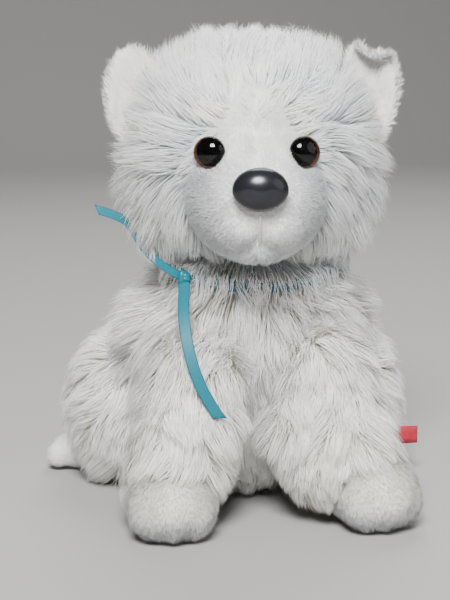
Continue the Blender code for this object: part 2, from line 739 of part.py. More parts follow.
def make_tail(joints):
    upper = ((0, 0, GAP / 2), (0, 0, -1))
    lower = ((0, 0, -GAP / 2), (0, 0, 1))
    panel("tail_upper", tail_surface(), [upper], "long_pile", joints["tail"])
    panel("tail_lower", tail_surface(), [lower], "long_pile", joints["tail"])
    put("tail_filling", shrink(tail_surface(), PANEL + FILL_GAP), "fibre_fill", joints["tail"])


# ---------------------------------------------------------------- ribbon and label

def collar_point(angle):
    """Around the neck from the front; the loop drops to the front and rises at the nape."""
    wide, deep = COLLAR_RADII
    ahead = -deep * math.cos(angle)
    height = NOD_HEIGHT + COLLAR_RISE + ahead * math.tan(COLLAR_SLOPE)
    return Vector((-wide * math.sin(angle), NECK_Y + ahead, height))


def strip(name, points, sides, closed, slot):
    """A flat band along a line of points; each side vector gives the way across it."""
    bm = bmesh.new()
    rows = []
    for point, side in zip(points, sides):
        across = side.normalized() * RIBBON_WIDTH / 2
        rows.append((bm.verts.new(point - across), bm.verts.new(point + across)))
    count = len(rows)
    pairs = count if closed else count - 1
    for index in range(pairs):
        low, high = rows[index]
        next_low, next_high = rows[(index + 1) % count]
        bm.faces.new((low, next_low, next_high, high))
    bm.normal_update()
    bmesh.ops.solidify(bm, geom=list(bm.faces), thickness=RIBBON_THICK)
    return put(name, bm, slot, None)


def smooth_route(points, steps):
    """Read points off a smooth curve through a route's own points."""
    places = [Vector(point) for point in points]
    ends = [places[0] * 2 - places[1], *places, places[-1] * 2 - places[-2]]
    out = []
    for index in range(1, len(ends) - 2):
        before, start, end, after = ends[index - 1:index + 3]
        for step in range(steps):
            t = step / steps
            out.append(
                0.5 * (2 * start + (end - before) * t
                       + (2 * before - 5 * start + 4 * end - after) * t * t
                       + (3 * start - before - 3 * end + after) * t ** 3)
            )
    out.append(places[-1])
    return out


def make_ribbon():
    """The collar loop, its knot, and the two cut ends that hang free of it."""
    ring = [collar_point(math.tau * step / COLLAR_STEPS) for step in range(COLLAR_STEPS)]
    up = Vector((0, -math.sin(COLLAR_SLOPE), math.cos(COLLAR_SLOPE)))
    strip("ribbon_collar", ring, [up] * COLLAR_STEPS, True, "satin_ribbon")
    knot = collar_point(KNOT_ANGLE)
    outward = Vector((knot.x, knot.y - NECK_Y, 0)).normalized()
    centre = knot + outward * (KNOT_RADIUS * KNOT_FLAT + RIBBON_THICK + GAP)
    radii = Vector((KNOT_RADIUS, KNOT_RADIUS * KNOT_FLAT, KNOT_RADIUS * 0.9))
    bm = bmesh.new()
    bmesh.ops.create_uvsphere(bm, u_segments=12, v_segments=8, radius=1.0)
    bmesh.ops.scale(bm, vec=radii, verts=bm.verts)
    bm.transform(turned(math.atan2(outward.x, -outward.y)))
    bmesh.ops.translate(bm, vec=centre, verts=bm.verts)
    put("ribbon_knot", bm, "satin_ribbon", None)
    front = smooth_route(FRONT_END_ROUTE, 3)
    strip("ribbon_front_end", front, [Vector((1, 0.15, 0.1))] * len(front), False, "satin_ribbon")
    back = smooth_route(BACK_END_ROUTE, 3)
    strip("ribbon_back_end", back, [Vector((0.4, 0.8, 0.5))] * len(back), False, "satin_ribbon")


def make_label(joints):
    """A plain folded loop of red tape, caught in the seam of the left thigh."""
    down = LABEL_DROP / THIGH_RADIUS
    ahead = LABEL_AHEAD / THIGH_RADIUS
    root = THIGH_HALF_WIDTH * math.sqrt(1 - down * down - ahead * ahead)
    bm = bmesh.new()
    bmesh.ops.create_cube(bm, size=1.0)
    bmesh.ops.scale(bm, vec=(LABEL_LENGTH, LABEL_THICK, LABEL_WIDTH), verts=bm.verts)
    place = (root + LABEL_LENGTH / 2 - LABEL_SINK, -LABEL_AHEAD, -LABEL_DROP)
    bmesh.ops.translate(bm, vec=place, verts=bm.verts)
    tool = cutter("cut_label", thigh_ball(GAP * 2), joints["hip_left"])
    put("side_label", bm, "label_cloth", joints["hip_left"], [tool], smooth=False)


def clear_scene():
    for item in list(bpy.data.objects):
        bpy.data.objects.remove(item, do_unlink=True)


def make_joints():
    neck = joint("neck_axis", (0, NECK_Y, NOD_HEIGHT), turn=HEAD_TURN)
    head = joint("head_axis", (0, 0, 0), neck)
    seam = ear_seam()[0]
    joints = {"neck": neck, "head": head}
    for side, sign in (("left", 1), ("right", -1)):
        shoulder = (sign * SHOULDER_X, SHOULDER_Y, SHOULDER_Z)
        joints["shoulder_" + side] = joint(f"shoulder_{side}_axis", shoulder)
        joints["hip_" + side] = joint(f"hip_{side}_axis", (sign * HIP_X, HIP_Y, HIP_Z))
        joints["ear_" + side] = joint(f"ear_{side}_axis", (sign * seam.x, seam.y, seam.z), head)
    joints["tail"] = joint("tail_axis", (0, TAIL_ROOT_Y, TAIL_ROOT_Z))
    return joints


def main():
    clear_scene()
    joints = make_joints()
    bpy.context.view_layer.update()
    make_torso(joints)
    make_neck(joints)
    make_head(joints)
    make_ears(joints)
    make_front_legs(joints)
    make_hind_legs(joints)
    make_tail(joints)
    make_ribbon()
    make_label(joints)


main()
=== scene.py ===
import json
import math

import bmesh
import bpy
import numpy as np
from mathutils import Matrix, Vector
from mathutils.kdtree import KDTree


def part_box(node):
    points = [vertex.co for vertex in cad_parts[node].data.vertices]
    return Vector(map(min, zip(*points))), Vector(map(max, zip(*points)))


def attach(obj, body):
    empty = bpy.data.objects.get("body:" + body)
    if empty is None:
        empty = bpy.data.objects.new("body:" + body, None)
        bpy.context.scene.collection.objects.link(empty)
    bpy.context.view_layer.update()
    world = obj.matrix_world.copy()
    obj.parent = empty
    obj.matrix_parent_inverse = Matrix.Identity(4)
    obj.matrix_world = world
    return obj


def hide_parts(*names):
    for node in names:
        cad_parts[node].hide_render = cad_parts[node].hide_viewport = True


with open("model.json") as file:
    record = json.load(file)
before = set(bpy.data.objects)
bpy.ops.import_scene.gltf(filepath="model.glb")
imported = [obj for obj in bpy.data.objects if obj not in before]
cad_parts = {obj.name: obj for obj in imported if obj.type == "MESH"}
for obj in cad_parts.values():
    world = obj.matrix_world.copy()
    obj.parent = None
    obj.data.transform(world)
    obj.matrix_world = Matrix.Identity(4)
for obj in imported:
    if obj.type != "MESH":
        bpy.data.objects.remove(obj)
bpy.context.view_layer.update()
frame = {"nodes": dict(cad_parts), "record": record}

bl_info = {
    "name": "Plush Dog Maker",
    "version": (1, 0, 0),
    "blender": (4, 5, 0),
    "location": "3D View > Sidebar > Plush",
    "description": "Dresses the plush dog's frame with pile, face, ribbon and label",
    "category": "Object",
}

SIDES = (("left", 1), ("right", -1))


# ---------------------------------------------------------------- places read from the frame

def low(node):
    return Vector(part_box(node)[0])


def high(node):
    return Vector(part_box(node)[1])


def middle(*nodes):
    lows = [low(node) for node in nodes]
    highs = [high(node) for node in nodes]
    corner_a = Vector([min(v[i] for v in lows) for i in range(3)])
    corner_b = Vector([max(v[i] for v in highs) for i in range(3)])
    return (corner_a + corner_b) / 2, corner_b - corner_a


def joint_of(name):
    for joint in frame["record"]["behaviour"]["joints"]:
        if joint["name"] == name:
            return joint
    raise RuntimeError("no joint " + name)


NECK = Vector(joint_of("head_turn")["pos_m"])
NOD_AXIS = Vector(joint_of("head_nod")["axis"]).normalized()
HEAD_AHEAD = Vector((NOD_AXIS.y, -NOD_AXIS.x, 0))       # the way the face looks
HEAD_MIDDLE, HEAD_SIZE = middle("head_filling")
FACE_MIDDLE, FACE_SIZE = middle("face_insert")
NOSE_MIDDLE, NOSE_SIZE = middle("nose")


def head_space(across, ahead, up):
    """A point given from the neck joint, across the face, ahead of it and up."""
    return NECK + NOD_AXIS * across + HEAD_AHEAD * ahead + Vector((0, 0, up))


# ---------------------------------------------------------------- sizes a user would change

class PlushPile(bpy.types.PropertyGroup):
    long_pile: bpy.props.FloatProperty(
        name="Long pile", description="Length of the body fur", default=0.024, subtype="DISTANCE"
    )
    ruff_pile: bpy.props.FloatProperty(
        name="Ruff pile", description="Length of the cheek and ruff fur", default=0.033,
        subtype="DISTANCE",
    )
    short_pile: bpy.props.FloatProperty(
        name="Short pile", description="Length of the plush on face and paws", default=0.0030,
        subtype="DISTANCE",
    )
    thickness: bpy.props.FloatProperty(
        name="Lock width", description="Width of a lock at its root", default=0.00045,
        subtype="DISTANCE",
    )
    density: bpy.props.FloatProperty(
        name="Density", description="Share of the full number of locks", default=1.0,
        min=0.05, max=1.0, subtype="FACTOR",
    )
    white: bpy.props.FloatVectorProperty(
        name="Pile colour", description="Main colour of the pile", default=(0.955, 0.950, 0.930),
        size=3, subtype="COLOR",
    )
    cream: bpy.props.FloatVectorProperty(
        name="Cream", description="Warm tint on legs and forehead", default=(0.93, 0.885, 0.77),
        size=3, subtype="COLOR",
    )
    cool: bpy.props.FloatVectorProperty(
        name="Cool", description="Cool tint of the undercoat", default=(0.86, 0.895, 0.93),
        size=3, subtype="COLOR",
    )
    pink: bpy.props.FloatVectorProperty(
        name="Ear pink", description="Colour of the ear lining", default=(0.95, 0.86, 0.82),
        size=3, subtype="COLOR",
    )


class PlushTrim(bpy.types.PropertyGroup):
    ribbon: bpy.props.FloatVectorProperty(
        name="Ribbon", description="Colour of the satin ribbon", default=(0.0, 0.160, 0.215),
        size=3, subtype="COLOR",
    )
    ribbon_width: bpy.props.FloatProperty(
        name="Ribbon width", description="Width of the ribbon", default=0.00635,
        subtype="DISTANCE",
    )
    label: bpy.props.FloatVectorProperty(
        name="Label", description="Colour of the sewn-in label", default=(0.55, 0.035, 0.06),
        size=3, subtype="COLOR",
    )
    iris: bpy.props.FloatVectorProperty(
        name="Iris", description="Colour of the eye's rim", default=(0.090, 0.030, 0.011),
        size=3, subtype="COLOR",
    )


def pile_settings():
    return bpy.context.scene.plush_pile


def trim_settings():
    return bpy.context.scene.plush_trim


# ---------------------------------------------------------------- shader node groups

def node_group(name, inputs, outputs):
    tree = bpy.data.node_groups.new(name, "ShaderNodeTree")
    for label, kind, value in inputs:
        socket = tree.interface.new_socket(label, in_out="INPUT", socket_type=kind)
        socket.default_value = value
    for label, kind in outputs:
        tree.interface.new_socket(label, in_out="OUTPUT", socket_type=kind)
    tree.nodes.new("NodeGroupInput").name = "in"
    tree.nodes.new("NodeGroupOutput").name = "out"
    return tree


def add_node(tree, kind, **values):
    node = tree.nodes.new(kind)
    for key, value in values.items():
        if key in node.inputs:
            node.inputs[key].default_value = value
        else:
            setattr(node, key, value)
    return node


def pile_tone_group():
    """Colour along a lock: painted shade darkening the root, body colour, bright tip, and a tone for
    each lock.
    """
    found = bpy.data.node_groups.get("pile_tone")
    if found:
        return found
    tree = node_group(
        "pile_tone",
        [
            ("White", "NodeSocketColor", (1, 1, 1, 1)),
            ("Cream", "NodeSocketColor", (1, 1, 1, 1)),
            ("Cool", "NodeSocketColor", (1, 1, 1, 1)),
            ("Root", "NodeSocketColor", (0.7, 0.7, 0.7, 1)),
        ],
        [("Color", "NodeSocketColor")],
    )
    start, end = tree.nodes["in"], tree.nodes["out"]
    link = tree.links.new
    uv = add_node(tree, "ShaderNodeUVMap", uv_map="OFBake")
    split = add_node(tree, "ShaderNodeSeparateXYZ")
    link(uv.outputs["UV"], split.inputs[0])
    warm = add_node(tree, "ShaderNodeMapRange", interpolation_type="SMOOTHSTEP")
    warm.inputs["From Min"].default_value = 0.55
    warm.inputs["From Max"].default_value = 0.95
    link(split.outputs["Y"], warm.inputs["Value"])
    chill = add_node(tree, "ShaderNodeMapRange", interpolation_type="SMOOTHSTEP")
    chill.inputs["From Min"].default_value = 0.45
    chill.inputs["From Max"].default_value = 0.05
    link(split.outputs["Y"], chill.inputs["Value"])
    to_cream = add_node(tree, "ShaderNodeMix", data_type="RGBA")
    link(warm.outputs["Result"], to_cream.inputs["Factor"])
    link(start.outputs["White"], to_cream.inputs["A"])
    link(start.outputs["Cream"], to_cream.inputs["B"])
    to_cool = add_node(tree, "ShaderNodeMix", data_type="RGBA")
    link(chill.outputs["Result"], to_cool.inputs["Factor"])
    link(to_cream.outputs["Result"], to_cool.inputs["A"])
    link(start.outputs["Cool"], to_cool.inputs["B"])
    # painted shade: near its root each lock is multiplied by the root colour, fading out by 0.6 of its
    # length
    rise = add_node(tree, "ShaderNodeMapRange", interpolation_type="SMOOTHSTEP")
    rise.inputs["From Max"].default_value = 0.60
    rise.inputs["To Min"].default_value = 1.0
    rise.inputs["To Max"].default_value = 0.0
    link(split.outputs["X"], rise.inputs["Value"])
    shade = add_node(tree, "ShaderNodeMix", data_type="RGBA", blend_type="MULTIPLY")
    link(rise.outputs["Result"], shade.inputs["Factor"])
    link(to_cool.outputs["Result"], shade.inputs["A"])
    link(start.outputs["Root"], shade.inputs["B"])
    link(shade.outputs["Result"], end.inputs["Color"])
    return tree


def cloth_group():
    """Knitted backing or plush ground: a fine grain, a soft mottling and a bump height."""
    found = bpy.data.node_groups.get("cloth_ground")
    if found:
        return found
    tree = node_group(
        "cloth_ground",
        [
            ("Color", "NodeSocketColor", (1, 1, 1, 1)),
            ("Shade", "NodeSocketColor", (0.5, 0.5, 0.5, 1)),
            ("Grain Scale", "NodeSocketFloat", 900.0),
            ("Mottle Scale", "NodeSocketFloat", 60.0),
        ],
        [("Color", "NodeSocketColor"), ("Height", "NodeSocketFloat")],
    )
    start, end = tree.nodes["in"], tree.nodes["out"]
    link = tree.links.new
    place = add_node(tree, "ShaderNodeTexCoord")
    grain = add_node(tree, "ShaderNodeTexNoise", Detail=2.0)
    link(place.outputs["Object"], grain.inputs["Vector"])
    link(start.outputs["Grain Scale"], grain.inputs["Scale"])
    mottle = add_node(tree, "ShaderNodeTexNoise", Detail=3.0)
    link(place.outputs["Object"], mottle.inputs["Vector"])
    link(start.outputs["Mottle Scale"], mottle.inputs["Scale"])
    both = add_node(tree, "ShaderNodeMath", operation="MULTIPLY")
    link(grain.outputs["Fac"], both.inputs[0])
    link(mottle.outputs["Fac"], both.inputs[1])
    spread = add_node(tree, "ShaderNodeMapRange")
    spread.inputs["From Min"].default_value = 0.12
    spread.inputs["From Max"].default_value = 0.40
    link(both.outputs[0], spread.inputs["Value"])
    mix = add_node(tree, "ShaderNodeMix", data_type="RGBA")
    link(spread.outputs["Result"], mix.inputs["Factor"])
    link(start.outputs["Shade"], mix.inputs["A"])
    link(start.outputs["Color"], mix.inputs["B"])
    link(mix.outputs["Result"], end.inputs["Color"])
    link(grain.outputs["Fac"], end.inputs["Height"])
    return tree


def mould_group():
    """Moulded plastic: faint orange-peel height and a slightly uneven gloss."""
    found = bpy.data.node_groups.get("moulded_skin")
    if found:
        return found
    tree = node_group(
        "moulded_skin",
        [
            ("Peel Scale", "NodeSocketFloat", 500.0),
            ("Gloss", "NodeSocketFloat", 0.2),
            ("Wear", "NodeSocketFloat", 0.1),
        ],
        [("Roughness", "NodeSocketFloat"), ("Height", "NodeSocketFloat")],
    )
    start, end = tree.nodes["in"], tree.nodes["out"]
    link = tree.links.new
    place = add_node(tree, "ShaderNodeTexCoord")
    peel = add_node(tree, "ShaderNodeTexNoise", Detail=1.0)
    link(place.outputs["Object"], peel.inputs["Vector"])
    link(start.outputs["Peel Scale"], peel.inputs["Scale"])
    smear = add_node(tree, "ShaderNodeTexNoise", Scale=120.0, Detail=4.0)
    link(place.outputs["Object"], smear.inputs["Vector"])
    worn = add_node(tree, "ShaderNodeMath", operation="MULTIPLY_ADD")
    link(smear.outputs["Fac"], worn.inputs[0])
    link(start.outputs["Wear"], worn.inputs[1])
    link(start.outputs["Gloss"], worn.inputs[2])
    link(worn.outputs[0], end.inputs["Roughness"])
    link(peel.outputs["Fac"], end.inputs["Height"])
    return tree


# ---------------------------------------------------------------- materials

def new_material(name):
    made = bpy.data.materials.new(name)
    made.use_nodes = True
    return made, made.node_tree, made.node_tree.nodes["Principled BSDF"]


def place_group(tree, group, **values):
    node = tree.nodes.new("ShaderNodeGroup")
    node.node_tree = group
    for key, value in values.items():
        socket = node.inputs[key.replace("_", " ")]
        socket.default_value = (*value, 1.0) if hasattr(value, "__len__") else value
    return node


def bump_into(tree, shader, height, strength, distance):
    bump = add_node(tree, "ShaderNodeBump", Strength=strength, Distance=distance)
    tree.links.new(height, bump.inputs["Height"])
    tree.links.new(bump.outputs["Normal"], shader.inputs["Normal"])


# Painted shade at the roots of the locks, multiplied in by pile_tone: cool on the head, warm on body
# and legs, pale on the short white pile
COOL_ROOT_SHADE = (0.66, 0.69, 0.73)
WARM_ROOT_SHADE = (0.80, 0.74, 0.60)
PALE_ROOT_SHADE = (0.88, 0.88, 0.88)


# root is the painted root shade colour handed to pile_tone
def pile_material(name, root, white=None, cream=None, cool=None):
    found = bpy.data.materials.get(name)
    if found:
        return found
    settings = pile_settings()
    made, tree, shader = new_material(name)
    tone = place_group(
        tree,
        pile_tone_group(),
        White=tuple(white or settings.white),
        Cream=tuple(cream or settings.cream),
        Cool=tuple(cool or settings.cool),
        Root=root,
    )
    tree.links.new(tone.outputs["Color"], shader.inputs["Base Color"])
    shader.inputs["Roughness"].default_value = 0.62
    shader.inputs["Specular IOR Level"].default_value = 0.35
    shader.inputs["Sheen Weight"].default_value = 0.45
    shader.inputs["Sheen Roughness"].default_value = 0.40
    return made


def ground_material(name, colour, shade, grain=900.0, mottle=60.0, bump=0.3, sheen=0.3):
    found = bpy.data.materials.get(name)
    if found:
        return found
    made, tree, shader = new_material(name)
    cloth = place_group(
        tree, cloth_group(), Color=tuple(colour), Shade=tuple(shade),
        Grain_Scale=grain, Mottle_Scale=mottle,
    )
    tree.links.new(cloth.outputs["Color"], shader.inputs["Base Color"])
    shader.inputs["Roughness"].default_value = 0.9
    shader.inputs["Specular IOR Level"].default_value = 0.2
    shader.inputs["Sheen Weight"].default_value = sheen
    bump_into(tree, shader, cloth.outputs["Height"], bump, 0.0006)
    return made


def plastic_material(name, colour, gloss, wear=0.08, peel=500.0, bump=0.05, coat=0.0):
    found = bpy.data.materials.get(name)
    if found:
        return found
    made, tree, shader = new_material(name)
    skin = place_group(tree, mould_group(), Peel_Scale=peel, Gloss=gloss, Wear=wear)
    shader.inputs["Base Color"].default_value = (*colour, 1.0)
    shader.inputs["Coat Weight"].default_value = coat
    shader.inputs["Coat Roughness"].default_value = 0.06
    tree.links.new(skin.outputs["Roughness"], shader.inputs["Roughness"])
    bump_into(tree, shader, skin.outputs["Height"], bump, 0.0003)
    return made


# ---------------------------------------------------------------- mesh helpers

def ball(bm, centre, radii, turn=None, segments=32, rings=20):
    """Add a ball stretched to three radii to a bmesh."""
    made = bmesh.ops.create_uvsphere(bm, u_segments=segments, v_segments=rings, radius=1.0)
    verts = made["verts"]
    bmesh.ops.scale(bm, vec=Vector(radii), verts=verts)
    if turn is not None:
        bmesh.ops.rotate(bm, cent=(0, 0, 0), matrix=turn, verts=verts)
    bmesh.ops.translate(bm, vec=Vector(centre), verts=verts)
    return verts


def piece(name, bm, material=None, smooth=True):
    mesh = bpy.data.meshes.new(name)
    bm.to_mesh(mesh)
    bm.free()
    if smooth:
        mesh.shade_smooth()
    made = bpy.data.objects.new(name, mesh)
    bpy.context.collection.objects.link(made)
    if material is not None:
        mesh.materials.append(material)
    return made


def bake_modifiers(made):
    """Put what the modifiers make into the mesh itself."""
    graph = bpy.context.evaluated_depsgraph_get()
    done = bpy.data.meshes.new_from_object(made.evaluated_get(graph))
    old = made.data
    materials = list(old.materials)
    made.modifiers.clear()
    made.data = done
    done.materials.clear()
    for material in materials:
        done.materials.append(material)
    done.shade_smooth()
    bpy.data.meshes.remove(old)
    return made


def stuffed(name, bm, voxel, relax, material):
    """Fuse overlapping lumps into one stuffed skin and let it relax, as filled cloth does."""
    made = piece(name, bm, material)
    remesh = made.modifiers.new("fuse", "REMESH")
    remesh.mode = "VOXEL"
    remesh.voxel_size = voxel
    soften = made.modifiers.new("relax", "SMOOTH")
    soften.factor = 0.5
    soften.iterations = relax
    return bake_modifiers(made)


def finish_piece(made, body, replaced=()):
    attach(made, body)
    if replaced:
        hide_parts(*replaced)
    return made


# ---------------------------------------------------------------- pile

def surface_scatter(made, per_mm2, seed, weight=None):
    """Random points on a skin with its smooth normals, spread by area and an optional weight."""
    mesh = made.data
    mesh.calc_loop_triangles()
    count = len(mesh.loop_triangles)
    corners = np.empty(count * 3, dtype=np.int32)
    mesh.loop_triangles.foreach_get("vertices", corners)
    corners = corners.reshape(-1, 3)
    places = np.empty(len(mesh.vertices) * 3)
    mesh.vertices.foreach_get("co", places)
    places = places.reshape(-1, 3)
    normals = np.empty(len(mesh.vertices) * 3)
    mesh.vertices.foreach_get("normal", normals)
    normals = normals.reshape(-1, 3)
    a, b, c = places[corners[:, 0]], places[corners[:, 1]], places[corners[:, 2]]
    area = np.linalg.norm(np.cross(b - a, c - a), axis=1) / 2
    share = area if weight is None else area * weight((a + b + c) / 3)
    total = share.sum()
    wanted = int(total * 1e6 * per_mm2 * pile_settings().density)
    rng = np.random.default_rng(seed)
    chosen = rng.choice(count, size=wanted, p=share / total)
    first = np.sqrt(rng.random(wanted))
    second = rng.random(wanted)
    w0, w1, w2 = 1 - first, first * (1 - second), first * second
    tri = corners[chosen]
    points = places[tri[:, 0]] * w0[:, None] + places[tri[:, 1]] * w1[:, None]
    points = points + places[tri[:, 2]] * w2[:, None]
    outward = normals[tri[:, 0]] * w0[:, None] + normals[tri[:, 1]] * w1[:, None]
    outward = outward + normals[tri[:, 2]] * w2[:, None]
    return points, unit(outward), rng


def unit(vectors):
    size = np.linalg.norm(vectors, axis=-1, keepdims=True)
    return vectors / np.maximum(size, 1e-9)


def swirl(points, seed, wave):
    """A slow, even field from -1 to 1 that changes over about one wave length."""
    rng = np.random.default_rng(seed)
    field = np.zeros(len(points))
    for _ in range(4):
        way = rng.normal(size=3)
        way = way / np.linalg.norm(way) * math.tau / (wave * rng.uniform(0.7, 1.5))
        field = field + np.sin(points @ way + rng.uniform(0, math.tau))
    return field / 2.6


def along_surface(vectors, normals):
    flat = vectors - normals * np.sum(vectors * normals, axis=1, keepdims=True)
    return unit(flat)


def nearest_guides(points, every, rng):
    """Pick one lock in so many as the middle of a tuft, and find each lock's tuft."""
    count = len(points)
    guides = rng.choice(count, size=max(1, count // every), replace=False)
    tree = KDTree(len(guides))
    for index, guide in enumerate(guides):
        tree.insert(points[guide], index)
    tree.balance()
    return np.array([guides[tree.find(point)[1]] for point in points])


def grow_pile(name, points, normals, rng, comb, length, look):
    """Grow flat tapering locks from points. comb is the way they lie, length is for each lock.

    look holds width, lift at root and tip, droop, curl, steps and tone. Its tufts are
    (locks in one tuft, pull to its middle, how late along the lock the pull comes).
    """
    count = len(points)
    steps = look["steps"]
    lie = along_surface(comb, normals)
    turn = swirl(points, look["seed"] + 1, look["wave"]) * look["swirl"]
    turn = turn + rng.normal(size=count) * look["stray"]
    across = np.cross(normals, lie)
    lie = lie * np.cos(turn)[:, None] + across * np.sin(turn)[:, None]
    droop = np.array([0, 0, -1.0]) * look["droop"]
    lift = look["lift"] * (1 + 0.35 * rng.normal(size=count)[:, None])
    rise = look["rise"] * (1 + 0.5 * rng.normal(size=count)[:, None])
    start_way = unit(normals * lift + lie)
    end_way = unit(normals * rise + lie + droop)
    wobble = rng.normal(size=(count, 3)) * look["curl"]
    size = length * (1 + look["uneven"] * rng.normal(size=count))
    size = np.clip(size, length * 0.45, length * 1.25)
    path = np.empty((count, steps + 1, 3))
    path[:, 0] = points - normals * 0.0006
    for step in range(steps):
        t = (step + 0.5) / steps
        way = start_way * (1 - t) + end_way * t + wobble * math.sin(t * math.pi * 1.5)
        path[:, step + 1] = path[:, step] + unit(way) * (size / steps)[:, None]
    for every, pull, bend in look["tufts"]:
        guide = nearest_guides(points, every, rng)
        share = pull * (0.5 + 0.5 * rng.random(count))
        for step in range(1, steps + 1):
            target = path[guide, step].copy()
            t = (step / steps) ** bend
            path[:, step] += (target - path[:, step]) * (share * t)[:, None]
    if look.get("clear") is not None:
        look["clear"](path)
    return lock_mesh(name, path, normals, rng, look)


def lock_mesh(name, path, normals, rng, look):
    """Skin each path with a flat tapering lock that ends in a point."""
    count, rows, _ = path.shape
    steps = rows - 1
    tangent = unit(np.gradient(path, axis=1))
    outward = normals[:, None, :] + rng.normal(size=(count, 1, 3)) * look["twist"]
    side = unit(np.cross(tangent, outward))
    taper = look["width"] * (1 - (np.arange(rows) / steps) ** 1.6 * 0.92)
    wide = taper[None, :] * rng.uniform(0.65, 1.25, size=count)[:, None] / 2
    path[:, :, 2] = np.maximum(path[:, :, 2], 0.0008)
    left = path - side * wide[:, :, None]
    right = path + side * wide[:, :, None]
    per_lock = steps * 2 + 1
    verts = np.empty((count, per_lock, 3))
    verts[:, 0:steps * 2:2] = left[:, :steps]
    verts[:, 1:steps * 2:2] = right[:, :steps]
    verts[:, -1] = path[:, -1]
    base = (np.arange(count) * per_lock)[:, None]
    quads = []
    for step in range(steps - 1):
        quads.append(np.array([0, 1, 3, 2]) + step * 2)
    quads = np.concatenate(quads) if quads else np.empty(0, dtype=int)
    last = np.array([steps * 2 - 2, steps * 2 - 1, steps * 2])
    loops_each = np.concatenate([quads, last]).astype(np.int64)
    loops = (base + loops_each[None, :]).ravel()
    sizes = np.array([4] * (steps - 1) + [3])
    starts_each = np.concatenate([[0], np.cumsum(sizes)[:-1]])
    loop_base = (np.arange(count) * len(loops_each))[:, None]
    starts = (loop_base + starts_each[None, :]).ravel()
    mesh = bpy.data.meshes.new(name)
    mesh.vertices.add(count * per_lock)
    mesh.vertices.foreach_set("co", verts.ravel().astype(np.float32))
    mesh.loops.add(len(loops))
    mesh.loops.foreach_set("vertex_index", loops.astype(np.int32))
    mesh.polygons.add(len(starts))
    mesh.polygons.foreach_set("loop_start", starts.astype(np.int32))
    mesh.update(calc_edges=True)
    height = np.concatenate([np.repeat(np.arange(steps) / steps, 2), [1.0]])
    tone = np.clip(look["tone"], 0.01, 0.99)
    u = np.clip(height[loops_each], 0.01, 0.99)
    uv = np.empty((count, len(loops_each), 2))
    uv[:, :, 0] = u[None, :]
    uv[:, :, 1] = tone[:, None]
    layer = mesh.uv_layers.new(name="OFBake")
    layer.data.foreach_set("uv", uv.ravel().astype(np.float32))
    mesh.shade_smooth()
    facing = outward - tangent * np.sum(outward * tangent, axis=2, keepdims=True)
    soft = unit(normals[:, None, :] * look["soft"] + unit(facing) * (1 - look["soft"]))
    soft = unit(soft + tangent * look["glow"])
    shared = np.empty((count, per_lock, 3))
    shared[:, 0:steps * 2:2] = soft[:, :steps]
    shared[:, 1:steps * 2:2] = soft[:, :steps]
    shared[:, -1] = soft[:, -1]
    mesh.normals_split_custom_set_from_vertices(shared.reshape(-1, 3).astype(np.float32))
    made = bpy.data.objects.new(name, mesh)
    bpy.context.collection.objects.link(made)
    return made


LONG_LOOK = {
    "width": 0.0005, "steps": 4, "lift": 1.0, "rise": 0.34, "droop": 0.25, "curl": 0.18,
    "tufts": ((12, 0.55, 1.0), (110, 0.62, 1.4)), "wave": 0.030, "swirl": 0.62, "stray": 0.16,
    "uneven": 0.16, "soft": 0.72, "glow": 0.10, "twist": 0.40, "seed": 1,
}
SHORT_LOOK = {
    "width": 0.00042, "steps": 2, "lift": 0.75, "rise": 0.30, "droop": 0.0, "curl": 0.10,
    "tufts": ((12, 0.35, 1.0),), "wave": 0.014, "swirl": 0.45, "stray": 0.22, "uneven": 0.18,
    "soft": 0.88, "glow": 0.0, "twist": 0.15, "seed": 2,
}


def pile_on(skin, name, body, seed, per_mm2, comb, length, look, material,
            weight=None, tint=None, region=None):
    """Scatter, comb and grow one stretch of pile on a skin."""
    points, normals, rng = surface_scatter(skin, per_mm2, seed, weight)
    if region is not None:
        kept = region(points, normals)
        points, normals = points[kept], normals[kept]
    sizes = length(points, normals) if callable(length) else np.full(len(points), length)
    ways = comb(points, normals)
    look = dict(look, seed=seed)
    # tint shifts each lock's tone towards cream or cool: a real tint on body, legs and ears, partly
    # painted light and shade on head, face and paws; patch and the noise vary the tone at random
    warm = tint(points) if tint is not None else np.zeros(len(points))
    patch = swirl(points, seed + 7, 0.018) * 0.12
    look["tone"] = 0.5 + warm + patch + rng.normal(size=len(points)) * 0.13
    made = grow_pile(name, points, normals, rng, ways, sizes, look)
    made.data.materials.append(material)
    finish_piece(made, body)
    return made


def blend_step(value, start, end):
    t = np.clip((value - start) / (end - start), 0, 1)
    return t * t * (3 - 2 * t)


# ---------------------------------------------------------------- the head

def head_coords(points):
    """Across, ahead and up from the head's middle, for many points."""
    away = points - np.array(HEAD_MIDDLE)
    return away @ np.array(NOD_AXIS), away @ np.array(HEAD_AHEAD), away[:, 2]


def head_turn_matrix():
    return Matrix.Rotation(math.atan2(NOD_AXIS.y, NOD_AXIS.x), 3, "Z")


COLLAR_RADII = (0.057, 0.051)
COLLAR_SLOPE = math.radians(17.5)
COLLAR_MIDDLE = Vector((0, NECK.y, NECK.z + 0.003))
EYE_SEAT = 0.0006       # the dark back's inner face above the cloth
WASHER_BACK = 0.0042    # the washer's middle behind the cloth
EYE_PLACES = {side: middle("eye_lens_" + side)[0] for side, _ in SIDES}


def eye_outward(side):
    joint_like = middle("eye_washer_" + side)[0]
    return (EYE_PLACES[side] - joint_like).normalized()


